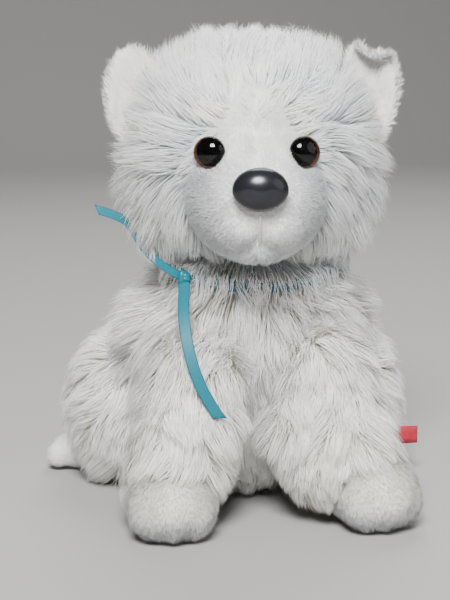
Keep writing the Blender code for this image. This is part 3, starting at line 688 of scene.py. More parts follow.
def face_gap(points):
    """Metres outside the short-pile face: the round muzzle and the arch over the brows."""
    across, ahead, up = head_coords(points)
    muzzle_up = FACE_MIDDLE.z - HEAD_MIDDLE.z
    round_face = np.sqrt((across / 0.037) ** 2 + ((up - muzzle_up) / 0.034) ** 2)
    muzzle_gap = (round_face - 1) * 0.036
    climb = np.clip(up / 0.040, 0, 1)
    half = 0.0285 * (1 - climb) ** 0.6
    arch_gap = np.maximum(np.abs(across) - half, (up - 0.040) * 1.2)
    arch_gap = np.where(up < -0.004, 1.0, arch_gap)
    gap = np.minimum(muzzle_gap, arch_gap)
    return np.where(ahead < 0.018, 0.05, gap)


def eye_gap(points):
    """Metres from the rim of the nearer eye."""
    gaps = [np.linalg.norm(points - np.array(EYE_PLACES[side]), axis=1) for side, _ in SIDES]
    return np.minimum(gaps[0], gaps[1]) - 0.0088


def seat_eyes(skin):
    """Press the skin back behind each eye, so that the whole eye shows."""
    for side, _ in SIDES:
        washer = middle("eye_washer_" + side)[0]
        outward = eye_outward(side)
        seat = washer + outward * (WASHER_BACK + EYE_SEAT)
        for vert in skin.data.vertices:
            away = vert.co - seat
            depth = away.dot(outward)
            gap = (away - outward * depth).length
            if gap < 0.0125 and -0.004 < depth < 0.02:
                share = min(1.0, max(0.0, (0.0125 - gap) / 0.0045))
                vert.co -= outward * ((depth + 0.0004) * share if depth > -0.0004 else 0.0)


def make_head_skin():
    turn = head_turn_matrix()
    bm = bmesh.new()
    middle_place = Vector((HEAD_MIDDLE.x, HEAD_MIDDLE.y, HEAD_MIDDLE.z))
    ball(bm, middle_place, (0.0615, 0.0575, 0.0605), turn)
    for sign in (1, -1):
        cheek = head_space(sign * 0.036, 0.022, 0.040)
        ball(bm, cheek, (0.023, 0.028, 0.026), turn)
    ball(bm, head_space(0, 0.004, 0.002), (0.034, 0.032, 0.024), turn)
    made = stuffed("head_skin", bm, 0.0035, 6, backing_material())
    seat_eyes(made)
    return made


def backing_material():
    white = pile_settings().white
    shade = tuple(c * 0.55 for c in white)
    return ground_material("backing_cloth", tuple(c * 0.8 for c in white), shade)


def head_comb(points, normals):
    """Away from the middle of the face, falling more at the cheeks and under the chin."""
    centre = np.array(head_space(0, 0.060, 0.050))
    away = unit(points - centre)
    across, ahead, up = head_coords(points)
    fall = blend_step(-up, -0.030, 0.030)
    away[:, 2] -= 0.70 * fall
    away += np.array(HEAD_AHEAD) * (0.45 * blend_step(-up, -0.010, 0.040))[:, None]
    chin = blend_step(-up, 0.020, 0.045) * blend_step(0.040 - np.abs(across), 0.0, 0.02)
    away[:, 2] -= 1.0 * chin
    tuck = blend_step(-up, -0.004, 0.026) * 0.75
    sideways = away @ np.array(NOD_AXIS)
    away -= (sideways * tuck)[:, None] * np.array(NOD_AXIS)
    away[:, 2] += 0.55 * crown_corner(across, up)
    return away


def crown_corner(across, up):
    return blend_step(up, 0.012, 0.040) * blend_step(np.abs(across), 0.010, 0.034)


def drape_over_collar(path):
    """Bring every third lock of the ruff outside the collar, so that it hangs over it."""
    hang_over = path[::3, 1:]
    flat = hang_over.reshape(-1, 3)
    away = flat - np.array(COLLAR_MIDDLE)
    radius = np.hypot(away[:, 0] / COLLAR_RADII[0], away[:, 1] / COLLAR_RADII[1])
    height = away[:, 2] - away[:, 1] * math.tan(COLLAR_SLOPE)
    least = 1.05 - 0.30 * blend_step(height, 0.001, 0.014)
    least = np.where((away[:, 1] < -0.012) & (radius > 0.5), least, 0.0)
    scale = np.maximum(1.0, least / np.maximum(radius, 0.3))
    flat[:, 0] = COLLAR_MIDDLE.x + away[:, 0] * scale
    flat[:, 1] = COLLAR_MIDDLE.y + away[:, 1] * scale
    path[::3, 1:] = flat.reshape(hang_over.shape)
    flat = path[:, 1:].reshape(-1, 3)
    route = smooth_route(BACK_END, 24)
    tree = KDTree(len(route))
    for index, point in enumerate(route):
        tree.insert((point.x, 0, point.z), index)
    tree.balance()
    reach = trim_settings().ribbon_width / 2 + 0.004
    near = (flat[:, 0] < -0.060) & (flat[:, 0] > -0.079) & (flat[:, 2] > 0.146)
    near &= (flat[:, 2] < 0.186) & (flat[:, 1] > -0.100) & (flat[:, 1] < -0.045)
    for index in np.nonzero(near)[0]:
        x, y, z = flat[index]
        _, nearest, gap = tree.find((x, 0, z))
        limit = route[nearest].y - 0.0024 * (1 - 0.4 * gap / reach)
        if gap < reach and y > limit:
            flat[index, 1] = limit
    path[:, 1:] = flat.reshape(path[:, 1:].shape)


def head_length(points, normals):
    across, ahead, up = head_coords(points)
    settings = pile_settings()
    away = blend_step(face_gap(points), -0.001, 0.016)
    side = blend_step(np.abs(across), 0.025, 0.055)
    low_part = blend_step(-up, -0.010, 0.028)
    full = settings.long_pile * (0.92 + 0.1 * side)
    full = full + (settings.ruff_pile - settings.long_pile) * low_part
    full = full * (1 + 0.16 * side * blend_step(-up, -0.020, 0.000))
    full = full * (1 - 0.22 * side * blend_step(-up, 0.004, 0.020))
    full = full * (1 + 0.28 * crown_corner(across, up))
    chin = blend_step(-up, 0.016, 0.034) * blend_step(0.052 - np.abs(across), 0.0, 0.02)
    full = full * (1 - 0.34 * chin)
    back = blend_step(-ahead, 0.0, 0.04)
    full = full * (1 - 0.15 * back)
    size = full * (0.36 + 0.64 * np.maximum(away, low_part * 0.9))
    return np.where(eye_gap(points) < 0.006, np.minimum(size, 0.0085), size)


class PLUSH_OT_head(bpy.types.Operator):
    """Head skin with its long radiating pile."""
    bl_idname = "plush.head"
    bl_label = "Head pile"

    def execute(self, context):
        settings = pile_settings()
        skin = make_head_skin()
        finish_piece(
            skin, "head",
            ("head_gusset", "chin_panel", "head_side_left", "head_side_right", "head_filling"),
        )
        material = pile_material(
            "head_pile", COOL_ROOT_SHADE, (0.90, 0.90, 0.895), (0.93, 0.91, 0.86), (0.76, 0.79, 0.83)
        )
        look = dict(LONG_LOOK, width=settings.thickness, droop=0.28, lift=1.2, rise=0.42)
        look["clear"] = drape_over_collar

        def outside(points):
            bald = (face_gap(points) < -0.0015) | (eye_gap(points) < 0.0012)
            near = blend_step(0.02 - face_gap(points), 0.0, 0.02)
            return np.where(bald, 0.0, 1.0 + 0.5 * near)

        regions = {
            "crown": lambda p, n: head_coords(p)[2] > 0.018,
            "cheek_left": lambda p, n: (head_coords(p)[2] <= 0.018) & (head_coords(p)[0] > 0.0),
            "cheek_right": lambda p, n: (head_coords(p)[2] <= 0.018) & (head_coords(p)[0] <= 0.0),
        }
        for index, (part, region) in enumerate(regions.items()):
            # The head pile turns towards cream at the brow above the face, partly as painted light, and
            # towards the cool colour on the +x side of the head as painted shade
            pile_on(
                skin, "head_fur_" + part, "head", 100 + index, 1.15, head_comb, head_length, look,
                material, weight=outside, region=region,
                tint=lambda p: 0.30 * blend_step(0.010 - face_gap(p), 0.0, 0.010)
                * blend_step(head_coords(p)[2], -0.01, 0.02) - 0.10 * (p[:, 0] > 0.02),
            )
        return {"FINISHED"}


# ---------------------------------------------------------------- face

def make_face_skin():
    """The muzzle dome with its lip pads and chin; the philtrum crease is pulled in afterwards by
    crease_face.
    """
    turn = head_turn_matrix()
    size = FACE_SIZE
    muzzle = head_space(0, 0.064, 0.039)
    bm = bmesh.new()
    ball(bm, muzzle, (0.0368, 0.0395, 0.0335), turn)
    for sign in (1, -1):
        ball(bm, muzzle + turn @ Vector((sign * 0.010, -0.0275, -0.0125)), (0.0125, 0.011, 0.010), turn)
    ball(bm, muzzle + turn @ Vector((0, -0.019, -0.0235)), (0.014, 0.013, 0.008), turn)
    ball(bm, head_space(0, 0.051, 0.066), (0.0285, 0.0225, 0.018), turn)
    ball(bm, head_space(0, 0.041, 0.082), (0.0210, 0.0260, 0.0200), turn)
    made = stuffed("face_skin", bm, 0.0022, 5, None)
    seat_eyes(made)
    return made


class PLUSH_OT_face(bpy.types.Operator):
    """Short-pile face insert with the stitched mouth."""
    bl_idname = "plush.face"
    bl_label = "Face"

    def execute(self, context):
        settings = pile_settings()
        skin = make_face_skin()
        white = tuple(settings.white)
        skin.data.materials.append(
            ground_material("plush_ground", white, tuple(c * 0.74 for c in white), 1500.0, 90.0)
        )
        crease_face(skin)
        finish_piece(skin, "head", ("face_insert", "muzzle_filling"))
        nose = np.array(NOSE_MIDDLE)

        def comb(points, normals):
            ways = unit(points - nose - np.array(HEAD_AHEAD) * 0.01)
            across = head_coords(points)[0]
            part = np.sign(across) * np.exp(-(across / 0.006) ** 2) * 0.5
            return ways + part[:, None] * np.array(NOD_AXIS)

        def length(points, normals):
            across, ahead, up = head_coords(points)
            out = blend_step(np.linalg.norm(points - nose, axis=1), 0.018, 0.045)
            near_eye = blend_step(0.006 - eye_gap(points), 0.0, 0.006)
            return settings.short_pile * (0.85 + 1.1 * out) * (1 - 0.35 * near_eye)

        def front(points, normals):
            across, ahead, up = head_coords(points)
            clear = np.linalg.norm((points - nose) * np.array([1, 1, 1.2]), axis=1) > 0.013
            below = up < EYE_PLACES["left"].z - HEAD_MIDDLE.z
            rim = np.where(below & (np.abs(across) < 0.026), -0.0022, 0.0006)
            return (ahead > 0.022) & clear & (eye_gap(points) > rim)

        # Painted light and shade on the face pile: the brow is pushed towards the brighter colour as if
        # lit from above, the rim of the muzzle below the eyes towards the darker cool colour as if in
        # shade; the spot under the nose is lighter
        def brow_light_and_muzzle_shade(points):
            up = head_coords(points)[2]
            across = head_coords(points)[0]
            muzzle = 0.34 * blend_step(-face_gap(points), 0.014, 0.002) * (up < 0.004)
            spot = np.exp(-(across / 0.005) ** 2 - ((points[:, 2] - nose[2] + 0.016) / 0.006) ** 2)
            return 0.48 * blend_step(up, -0.006, 0.014) - muzzle + 0.5 * spot

        look = dict(SHORT_LOOK, width=0.00042)
        # The face pile's white and cool colours are greyed partly as painted shade over whiter cloth,
        # and its root colour is painted root shade
        pile_on(
            skin, "face_plush", "head", 200, 4.1, comb, length, look,
            pile_material(
                "face_pile_painted_shade", (0.66, 0.67, 0.69), (0.67, 0.675, 0.68), tuple(settings.white),
                (0.44, 0.46, 0.485),
            ), region=front, tint=brow_light_and_muzzle_shade,
        )
        return {"FINISHED"}


def crease_face(skin):
    """Pull the skin in along the line from the nose to the mouth."""
    nose_low = NOSE_MIDDLE.z - NOSE_SIZE.z / 2
    for vert in skin.data.vertices:
        away = vert.co - HEAD_MIDDLE
        across = away.dot(NOD_AXIS)
        ahead = away.dot(HEAD_AHEAD)
        if ahead < 0.04:
            continue
        below = nose_low + 0.002 - vert.co.z
        if below > 0 and below < 0.020:
            depth = 0.0010 * math.exp(-(across / 0.0026) ** 2)
            vert.co -= HEAD_AHEAD * depth * min(1.0, (0.020 - below) / 0.004)


# ---------------------------------------------------------------- eyes and nose

class PLUSH_OT_eyes(bpy.types.Operator):
    """Domed eyes: clear lens over a brown iris and a wide pupil."""
    bl_idname = "plush.eyes"
    bl_label = "Eyes"

    def execute(self, context):
        for side, _ in SIDES:
            node = middle("eye_lens_" + side)[0]
            outward = eye_outward(side)
            washer = middle("eye_washer_" + side)[0]
            seat = washer + outward * (EYE_SEAT + WASHER_BACK)
            turn = outward.to_track_quat("Z", "Y").to_matrix().to_4x4()
            turn.translation = seat
            lens = turned_piece("eye_dome_" + side, dome_profile(0.0089, 0.0062, 0.0007), turn, 40)
            lens.data.materials.append(lens_material())
            finish_piece(lens, "head", ("eye_lens_" + side,))
            iris = turned_piece("eye_iris_" + side, disc_profile(0.0085, 0.0001, 0.0013), turn, 40)
            iris.data.materials.append(iris_material(side, seat, outward))
            finish_piece(iris, "head", ("eye_back_" + side,))
        return {"FINISHED"}


def dome_profile(radius, height, base):
    points = [(0, base), (radius, base), (radius, base + height * 0.12)]
    steps = 9
    for step in range(1, steps):
        angle = math.pi / 2 * step / steps
        rise = base + height * 0.12 + height * 0.88 * math.sin(angle)
        points.append((radius * math.cos(angle), rise))
    points.append((0, base + height))
    return points


def disc_profile(radius, base, top):
    return [(0, base), (radius, base), (radius, top * 0.9), (radius * 0.97, top), (0, top * 0.92)]


def turned_piece(name, points, stand, segments):
    bm = bmesh.new()
    chain = [bm.verts.new((radius, 0, height)) for radius, height in points]
    for first, second in zip(chain, chain[1:]):
        bm.edges.new((first, second))
    bmesh.ops.spin(
        bm, geom=list(bm.verts) + list(bm.edges), cent=(0, 0, 0), axis=(0, 0, 1),
        angle=math.tau, steps=segments, use_merge=True,
    )
    bmesh.ops.remove_doubles(bm, verts=bm.verts, dist=1e-6)
    bmesh.ops.recalc_face_normals(bm, faces=bm.faces)
    bm.transform(stand)
    made = piece(name, bm)
    made.data.set_sharp_from_angle(angle=math.radians(50))
    return made


def lens_material():
    found = bpy.data.materials.get("clear_lens")
    if found:
        return found
    made, tree, shader = new_material("clear_lens")
    skin = place_group(tree, mould_group(), Peel_Scale=300.0, Gloss=0.01, Wear=0.03)
    shader.inputs["Base Color"].default_value = (0.97, 0.95, 0.93, 1.0)
    shader.inputs["Transmission Weight"].default_value = 1.0
    shader.inputs["IOR"].default_value = 1.40
    tree.links.new(skin.outputs["Roughness"], shader.inputs["Roughness"])
    return made


def iris_material(side, centre, outward):
    made, tree, shader = new_material("iris_" + side)
    link = tree.links.new
    place = add_node(tree, "ShaderNodeTexCoord")
    away = add_node(tree, "ShaderNodeVectorMath", operation="DISTANCE")
    inward = NOD_AXIS * (-0.0013 if side == "left" else 0.0013) + Vector((0, 0, 0.0005))
    away.inputs[1].default_value = centre + outward * 0.0008 + inward
    link(place.outputs["Object"], away.inputs[0])
    ring = add_node(tree, "ShaderNodeMapRange", interpolation_type="SMOOTHSTEP")
    ring.inputs["From Min"].default_value = 0.0069
    ring.inputs["From Max"].default_value = 0.0076
    link(away.outputs["Value"], ring.inputs["Value"])
    streak = add_node(tree, "ShaderNodeTexNoise", Scale=420.0, Detail=3.0)
    link(place.outputs["Object"], streak.inputs["Vector"])
    iris = trim_settings().iris
    brown = add_node(tree, "ShaderNodeMix", data_type="RGBA")
    link(streak.outputs["Fac"], brown.inputs["Factor"])
    brown.inputs["A"].default_value = (iris[0] * 0.4, iris[1] * 0.4, iris[2] * 0.4, 1)
    brown.inputs["B"].default_value = (iris[0] * 1.5, iris[1] * 1.5, iris[2] * 1.5, 1)
    mix = add_node(tree, "ShaderNodeMix", data_type="RGBA")
    link(ring.outputs["Result"], mix.inputs["Factor"])
    mix.inputs["A"].default_value = (0.003, 0.003, 0.003, 1)
    link(brown.outputs["Result"], mix.inputs["B"])
    link(mix.outputs["Result"], shader.inputs["Base Color"])
    shader.inputs["Roughness"].default_value = 0.9
    shader.inputs["Specular IOR Level"].default_value = 0.0
    return made


class PLUSH_OT_nose(bpy.types.Operator):
    """Moulded glossy nose."""
    bl_idname = "plush.nose"
    bl_label = "Nose"

    def execute(self, context):
        turn = head_turn_matrix()
        bm = bmesh.new()
        ball(bm, (0, 0, 0), (0.0148, 0.0088, 0.0119), None, 48, 32)
        for vert in bm.verts:
            place = vert.co
            low_part = max(0.0, -place.z / 0.0119)
            place.x *= 1.0 - 0.16 * low_part ** 2
            place.z += 0.0012 * max(0.0, 1 - abs(place.x) / 0.006) * low_part * 0.6
            for sign in (1, -1):
                hollow = Vector((sign * 0.0062, -0.0070, -0.0025))
                near = (place - hollow).length
                place.y += 0.0010 * math.exp(-(near / 0.0026) ** 2)
        bmesh.ops.rotate(bm, cent=(0, 0, 0), matrix=turn, verts=bm.verts)
        seat = head_space(0, 0.064 + 0.0385 + 0.0030, 0.048)
        bmesh.ops.translate(bm, vec=seat, verts=bm.verts)
        material = plastic_material("nose_plastic", (0.003, 0.003, 0.004), 0.26, coat=0.12, bump=0.12)
        made = piece("nose_moulding", bm, material)
        finish_piece(made, "head", ("nose",))
        return {"FINISHED"}


# ---------------------------------------------------------------- ears

class PLUSH_OT_ears(bpy.types.Operator):
    """Cupped ears: furry back and rim, smooth pink lining, one tip turned over."""
    bl_idname = "plush.ears"
    bl_label = "Ears"

    def execute(self, context):
        settings = pile_settings()
        face = np.array(HEAD_AHEAD)
        for index, (side, sign) in enumerate(SIDES):
            body = "ear_" + side
            joint = joint_of(f"ear_{side}_fold")
            seam = Vector(joint["pos_m"])
            along = Vector(joint["axis"]).normalized()
            outward = HEAD_AHEAD.cross(along)
            if outward.dot(NOD_AXIS) * sign < 0:
                outward = -outward
            centre = seam + NOD_AXIS * sign * 0.0066 + Vector((0, 0, 0.0006))
            lean = Matrix.Rotation(sign * math.radians(6), 3, "Y")
            folded = side == "left"
            if folded:
                centre += Vector((0, 0, 0.0025))
            shell = ear_shell(centre, head_turn_matrix() @ lean, sign, folded)
            cut = bmesh.ops.bisect_plane(
                shell, geom=list(shell.verts) + list(shell.edges) + list(shell.faces),
                plane_co=seam, plane_no=-outward, clear_outer=True,
            )
            edges = [item for item in cut["geom_cut"] if isinstance(item, bmesh.types.BMEdge)]
            bmesh.ops.contextual_create(shell, geom=edges)
            back = piece("ear_shell_" + side, shell, backing_material())
            finish_piece(back, body, (f"ear_back_{side}",))
            base = np.array(seam - Vector((0, 0, 0.030)) - NOD_AXIS * sign * 0.006)

            def outward_comb(points, normals, base=base):
                return unit(points - base)

            lining = bpy.data.objects.new("ear_lining_skin_" + side, back.data.copy())
            bpy.context.collection.objects.link(lining)
            keep_faces(lining, face, 0.25)
            lining.data.materials.clear()
            pink = tuple(settings.pink)
            lining.data.materials.append(
                ground_material("ear_ground", pink, tuple(c * 0.85 for c in pink), 1500.0, 80.0)
            )
            push_out(lining, 0.0004)
            finish_piece(lining, body, (f"ear_lining_{side}",))
            heart = np.array(centre + Vector((0, 0, -0.006)))

            def blush(points, heart=heart):
                gap = np.linalg.norm((points - heart) * np.array([1.3, 0.6, 0.75]), axis=1)
                return 0.5 * blend_step(gap, 0.004, 0.013) - 0.15

            def fluff(points, normals, heart=heart):
                gap = np.linalg.norm((points - heart) * np.array([1.3, 0.6, 0.75]), axis=1)
                return settings.short_pile * (0.95 + 1.1 * blend_step(gap, 0.006, 0.018))

            pile_on(
                lining, "ear_plush_" + side, body, 300 + index, 5.0, outward_comb,
                fluff, dict(SHORT_LOOK, lift=0.9, rise=0.5),
                pile_material(
                    "ear_pile", PALE_ROOT_SHADE, pink, tuple(settings.white), (0.94, 0.80, 0.76)
                ),
                tint=blush,
            )
            look = dict(
                LONG_LOOK, width=settings.thickness * 0.85, droop=0.0, lift=0.55, rise=0.22,
                tufts=((8, 0.35, 1.2),),
            )
            pile_on(
                back, "ear_fur_" + side, body, 310 + index, 2.6, outward_comb,
                lambda p, n: 0.0050 + 0.0035 * blend_step(-(n @ face), -0.1, 0.5), look,
                pile_material("head_pile", COOL_ROOT_SHADE),
                region=lambda p, n: (n @ face) < 0.32,
            )
        return {"FINISHED"}


def ear_shell(centre, turn, sign, folded):
    """A rounded ear, dished to the front, with the tip of one ear turned over."""
    bm = bmesh.new()
    tall = 0.0330 if folded else 0.0275
    ball(bm, (0, 0, 0), (0.0155, 0.0044, tall), None, 48, 36)
    for vert in bm.verts:
        place = vert.co
        across = place.x / 0.0155
        up = place.z / tall
        dish = 0.0040 * max(0.0, 1 - across ** 2 - up ** 2)
        if place.y < 0:
            place.y = place.y * 0.4 + dish
        place.y -= 0.0045 * across ** 2
        if folded:
            fold_tip(place, sign)
    bmesh.ops.rotate(bm, cent=(0, 0, 0), matrix=turn, verts=bm.verts)
    bmesh.ops.translate(bm, vec=centre, verts=bm.verts)
    return bm


def fold_tip(place, sign):
    """Roll what lies past a slanting line forwards and down over the front of the ear."""
    way = Vector((sign * 0.20, 0, 0.980))
    past = place.dot(way) - 0.0190
    if past <= 0:
        return
    radius = 0.0052
    bend = min(past / radius, 2.5)
    rest = max(0.0, past - radius * 2.5)
    flat = place - way * past
    back = place.y - 0.0
    roll = radius - back
    rise = roll * math.sin(bend) + rest * math.cos(2.5)
    front = roll * (1 - math.cos(bend)) + rest * math.sin(2.5)
    place.x = flat.x + way.x * rise
    place.z = flat.z + way.z * rise
    place.y = back - front


def keep_faces(made, way, least):
    bm = bmesh.new()
    bm.from_mesh(made.data)
    direction = Vector(way)
    doomed = [face for face in bm.faces if face.normal.dot(direction) < least]
    bmesh.ops.delete(bm, geom=doomed, context="FACES")
    bm.to_mesh(made.data)
    bm.free()


def push_out(made, distance):
    bm = bmesh.new()
    bm.from_mesh(made.data)
    bm.normal_update()
    for vert in bm.verts:
        vert.co += vert.normal * distance
    bmesh.ops.solidify(bm, geom=list(bm.faces), thickness=distance * 0.8)
    bm.to_mesh(made.data)
    bm.free()
    made.data.shade_smooth()


# ---------------------------------------------------------------- torso

def make_torso_skin():
    bm = bmesh.new()
    ball(bm, (0, 0.000, 0.049), (0.0705, 0.0690, 0.0475))
    ball(bm, (0, -0.014, 0.080), (0.0675, 0.0590, 0.0500))
    ball(bm, (0, -0.032, 0.106), (0.0640, 0.0490, 0.0320))
    ball(bm, (0, -0.042, 0.125), (0.0460, 0.0380, 0.0190))
    made = stuffed("torso_skin", bm, 0.0045, 8, backing_material())
    for vert in made.data.vertices:
        vert.co.z = max(vert.co.z, 0.0012)
    return made


def torso_comb(points, normals):
    """Down the body, and out over the shoulders around the neck."""
    down = np.tile(np.array([0.0, 0.0, -1.0]), (len(points), 1))
    wide = blend_step(np.abs(points[:, 0]), 0.0, 0.05) * np.sign(points[:, 0])
    down[:, 0] += (0.35 + 0.45 * blend_step(points[:, 2], 0.06, 0.10)) * wide
    down[:, 1] += 0.25 * blend_step(points[:, 1], 0.0, 0.06)
    top = blend_step(points[:, 2], 0.105, 0.135)[:, None]
    out = unit(points - np.array([0, NECK.y, 0]) - points * np.array([0, 0, 1]))
    return down * (1 - top) + (out + np.array([0, 0, -0.15])) * top


class PLUSH_OT_torso(bpy.types.Operator):
    """Torso skin with chest, flank and back pile."""
    bl_idname = "plush.torso"
    bl_label = "Torso pile"

    def execute(self, context):
        settings = pile_settings()
        skin = make_torso_skin()
        finish_piece(
            skin, "torso",
            (
                "seat_panel", "belly_panel", "back_panel_left", "back_panel_right",
                "torso_filling",
            ),
        )
        material = pile_material("body_pile", WARM_ROOT_SHADE)
        look = dict(
            LONG_LOOK, width=settings.thickness, droop=0.30, lift=1.25, rise=0.42,
            clear=clear_ribbons,
        )
        regions = {
            "chest": lambda p, n: (p[:, 1] < -0.020) & (p[:, 2] > 0.004),
            "back_left": lambda p, n: (p[:, 1] >= -0.020) & (p[:, 0] > 0) & (p[:, 2] > 0.004),
            "back_right": lambda p, n: (p[:, 1] >= -0.020) & (p[:, 0] <= 0) & (p[:, 2] > 0.004),
        }
        for index, (part, region) in enumerate(regions.items()):
            pile_on(
                skin, part + "_fur", "torso", 400 + index, 0.95, torso_comb,
                lambda p, n: settings.long_pile * (0.72 + 0.55 * blend_step(p[:, 2], 0.02, 0.10)),
                look, material, region=region,
                tint=lambda p: 0.10 * blend_step(-p[:, 2], -0.10, -0.03),
            )
        return {"FINISHED"}


# ---------------------------------------------------------------- legs

def leg_centres(side, sign):
    shoulder = Vector(joint_of(f"front_leg_{side}_splay")["pos_m"])
    foot, foot_size = middle("front_paw_" + side)
    return shoulder, foot, foot_size


def make_leg_skin(side, sign):
    shoulder, foot, size = leg_centres(side, sign)
    bm = bmesh.new()
    inward = Vector((-sign, 0, 0))
    top = shoulder + inward * 0.008 + Vector((0, 0, -0.006))
    ball(bm, top, (0.0225, 0.0235, 0.0225))
    for share, radius in ((0.25, 0.0245), (0.5, 0.0260), (0.75, 0.0255)):
        place = top.lerp(foot, share)
        if side == "left":
            place += inward * 0.004
        ball(bm, place, (radius, radius, radius))
        if side == "left" and share > 0.3:
            ball(bm, place + inward * 0.013, (radius, radius * 0.85, radius))
    ball(bm, foot + Vector((0, 0.004, 0)), (size.x / 2 - 0.0085, size.y / 2 - 0.010, 0.022))
    return stuffed("front_leg_skin_" + side, bm, 0.0035, 5, backing_material())


def make_paw_skin(side, sign):
    """The short-pile paw, with the shallow dents between its toes."""
    shoulder, foot, size = leg_centres(side, sign)
    out = math.radians(sign * (14 if side == "left" else 4))
    turn = Matrix.Rotation(out, 3, "Z")
    bm = bmesh.new()
    centre = Vector((foot.x, foot.y, 0.0215))
    ball(bm, centre, (size.x / 2 - 0.0070, size.y / 2 - 0.004, 0.0215), turn)
    for toe in (-1, 0, 1):
        reach = 0.0190 if toe == 0 else 0.0155
        place = centre + turn @ Vector((toe * 0.0110, -reach, -0.0040))
        ball(bm, place, (0.0125, 0.0145, 0.0150), turn)
    made = stuffed("front_paw_skin_" + side, bm, 0.0026, 9, None)
    for vert in made.data.vertices:
        vert.co.z = max(vert.co.z, 0.0010)
    return made


def leg_comb(points, normals):
    """Down the sleeve, and forwards over the top of the shoulder."""
    down = np.tile(np.array([0.0, -0.25, -1.0]), (len(points), 1))
    down[:, 0] += 0.20 * np.sign(points[:, 0]) * blend_step(points[:, 2], 0.05, 0.09)
    inner = blend_step(-normals[:, 0] * np.sign(points[:, 0]), 0.2, 0.8)
    down[:, 0] -= 0.45 * np.sign(points[:, 0]) * inner
    over = np.tile(np.array([0.0, -1.0, -0.5]), (len(points), 1))
    over[:, 0] += 0.5 * np.sign(points[:, 0])
    top = blend_step(normals[:, 2], 0.25, 0.80)[:, None]
    return down * (1 - top) + over * top


class PLUSH_OT_front_legs(bpy.types.Operator):
    """Front legs: long-pile sleeves over short-pile paws."""
    bl_idname = "plush.front_legs"
    bl_label = "Front legs"

    def execute(self, context):
        settings = pile_settings()
        for index, (side, sign) in enumerate(SIDES):
            body = "front_leg_" + side
            skin = make_leg_skin(side, sign)
            finish_piece(
                skin, body,
                (
                    f"front_leg_outer_{side}", f"front_leg_inner_{side}",
                    f"front_leg_filling_{side}",
                ),
            )
            paw = make_paw_skin(side, sign)
            white = tuple(settings.white)
            paw.data.materials.append(
                ground_material("plush_ground", white, tuple(c * 0.74 for c in white), 1500.0, 90.0)
            )
            finish_piece(
                paw, body, (f"front_paw_{side}", f"front_sole_{side}")
            )
            look = dict(
                LONG_LOOK, width=settings.thickness, droop=0.30, lift=0.95, rise=0.26,
                clear=clear_ribbons,
            )
            foot, foot_size = middle("front_paw_" + side)

            def sleeve(p, n, foot=foot, foot_size=foot_size):
                aside = np.abs(p[:, 0] - foot.x) / (foot_size.x / 2)
                behind = blend_step(p[:, 1] - foot.y, -0.012, 0.006)
                out = np.maximum(blend_step(aside, 0.45, 0.85), behind)
                return p[:, 2] > 0.044 - 0.032 * out

            pile_on(
                skin, "front_leg_fur_" + side, body, 500 + index, 1.20, leg_comb,
                lambda p, n: settings.long_pile * (0.55 + 0.50 * blend_step(p[:, 2], 0.02, 0.08))
                * (1 - 0.22 * blend_step(n[:, 0] * np.sign(p[:, 0]), 0.1, 0.8)),
                look, pile_material("body_pile", WARM_ROOT_SHADE), region=sleeve,
                tint=lambda p: 0.24 * blend_step(-p[:, 2], -0.09, -0.03),
            )
            # Paw plush with painted shade: greyed colours turning darker and cooler towards the floor,
            # cream on the tops partly as painted light, and a painted root shade
            pile_on(
                paw, "front_paw_plush_" + side, body, 520 + index, 4.0,
                lambda p, n: np.tile(np.array([0.0, -0.5, -0.9]), (len(p), 1)),
                settings.short_pile * 1.6, dict(SHORT_LOOK, lift=1.0, rise=0.45),
                pile_material(
                    "paw_pile_painted_shade", (0.74, 0.72, 0.68), (0.88, 0.875, 0.85), tuple(settings.cream),
                    (0.50, 0.51, 0.52),
                ),
                region=lambda p, n: p[:, 2] > 0.0018,
                tint=lambda p: 0.75 * blend_step(p[:, 2], 0.010, 0.026) - 0.42,
            )
        return {"FINISHED"}


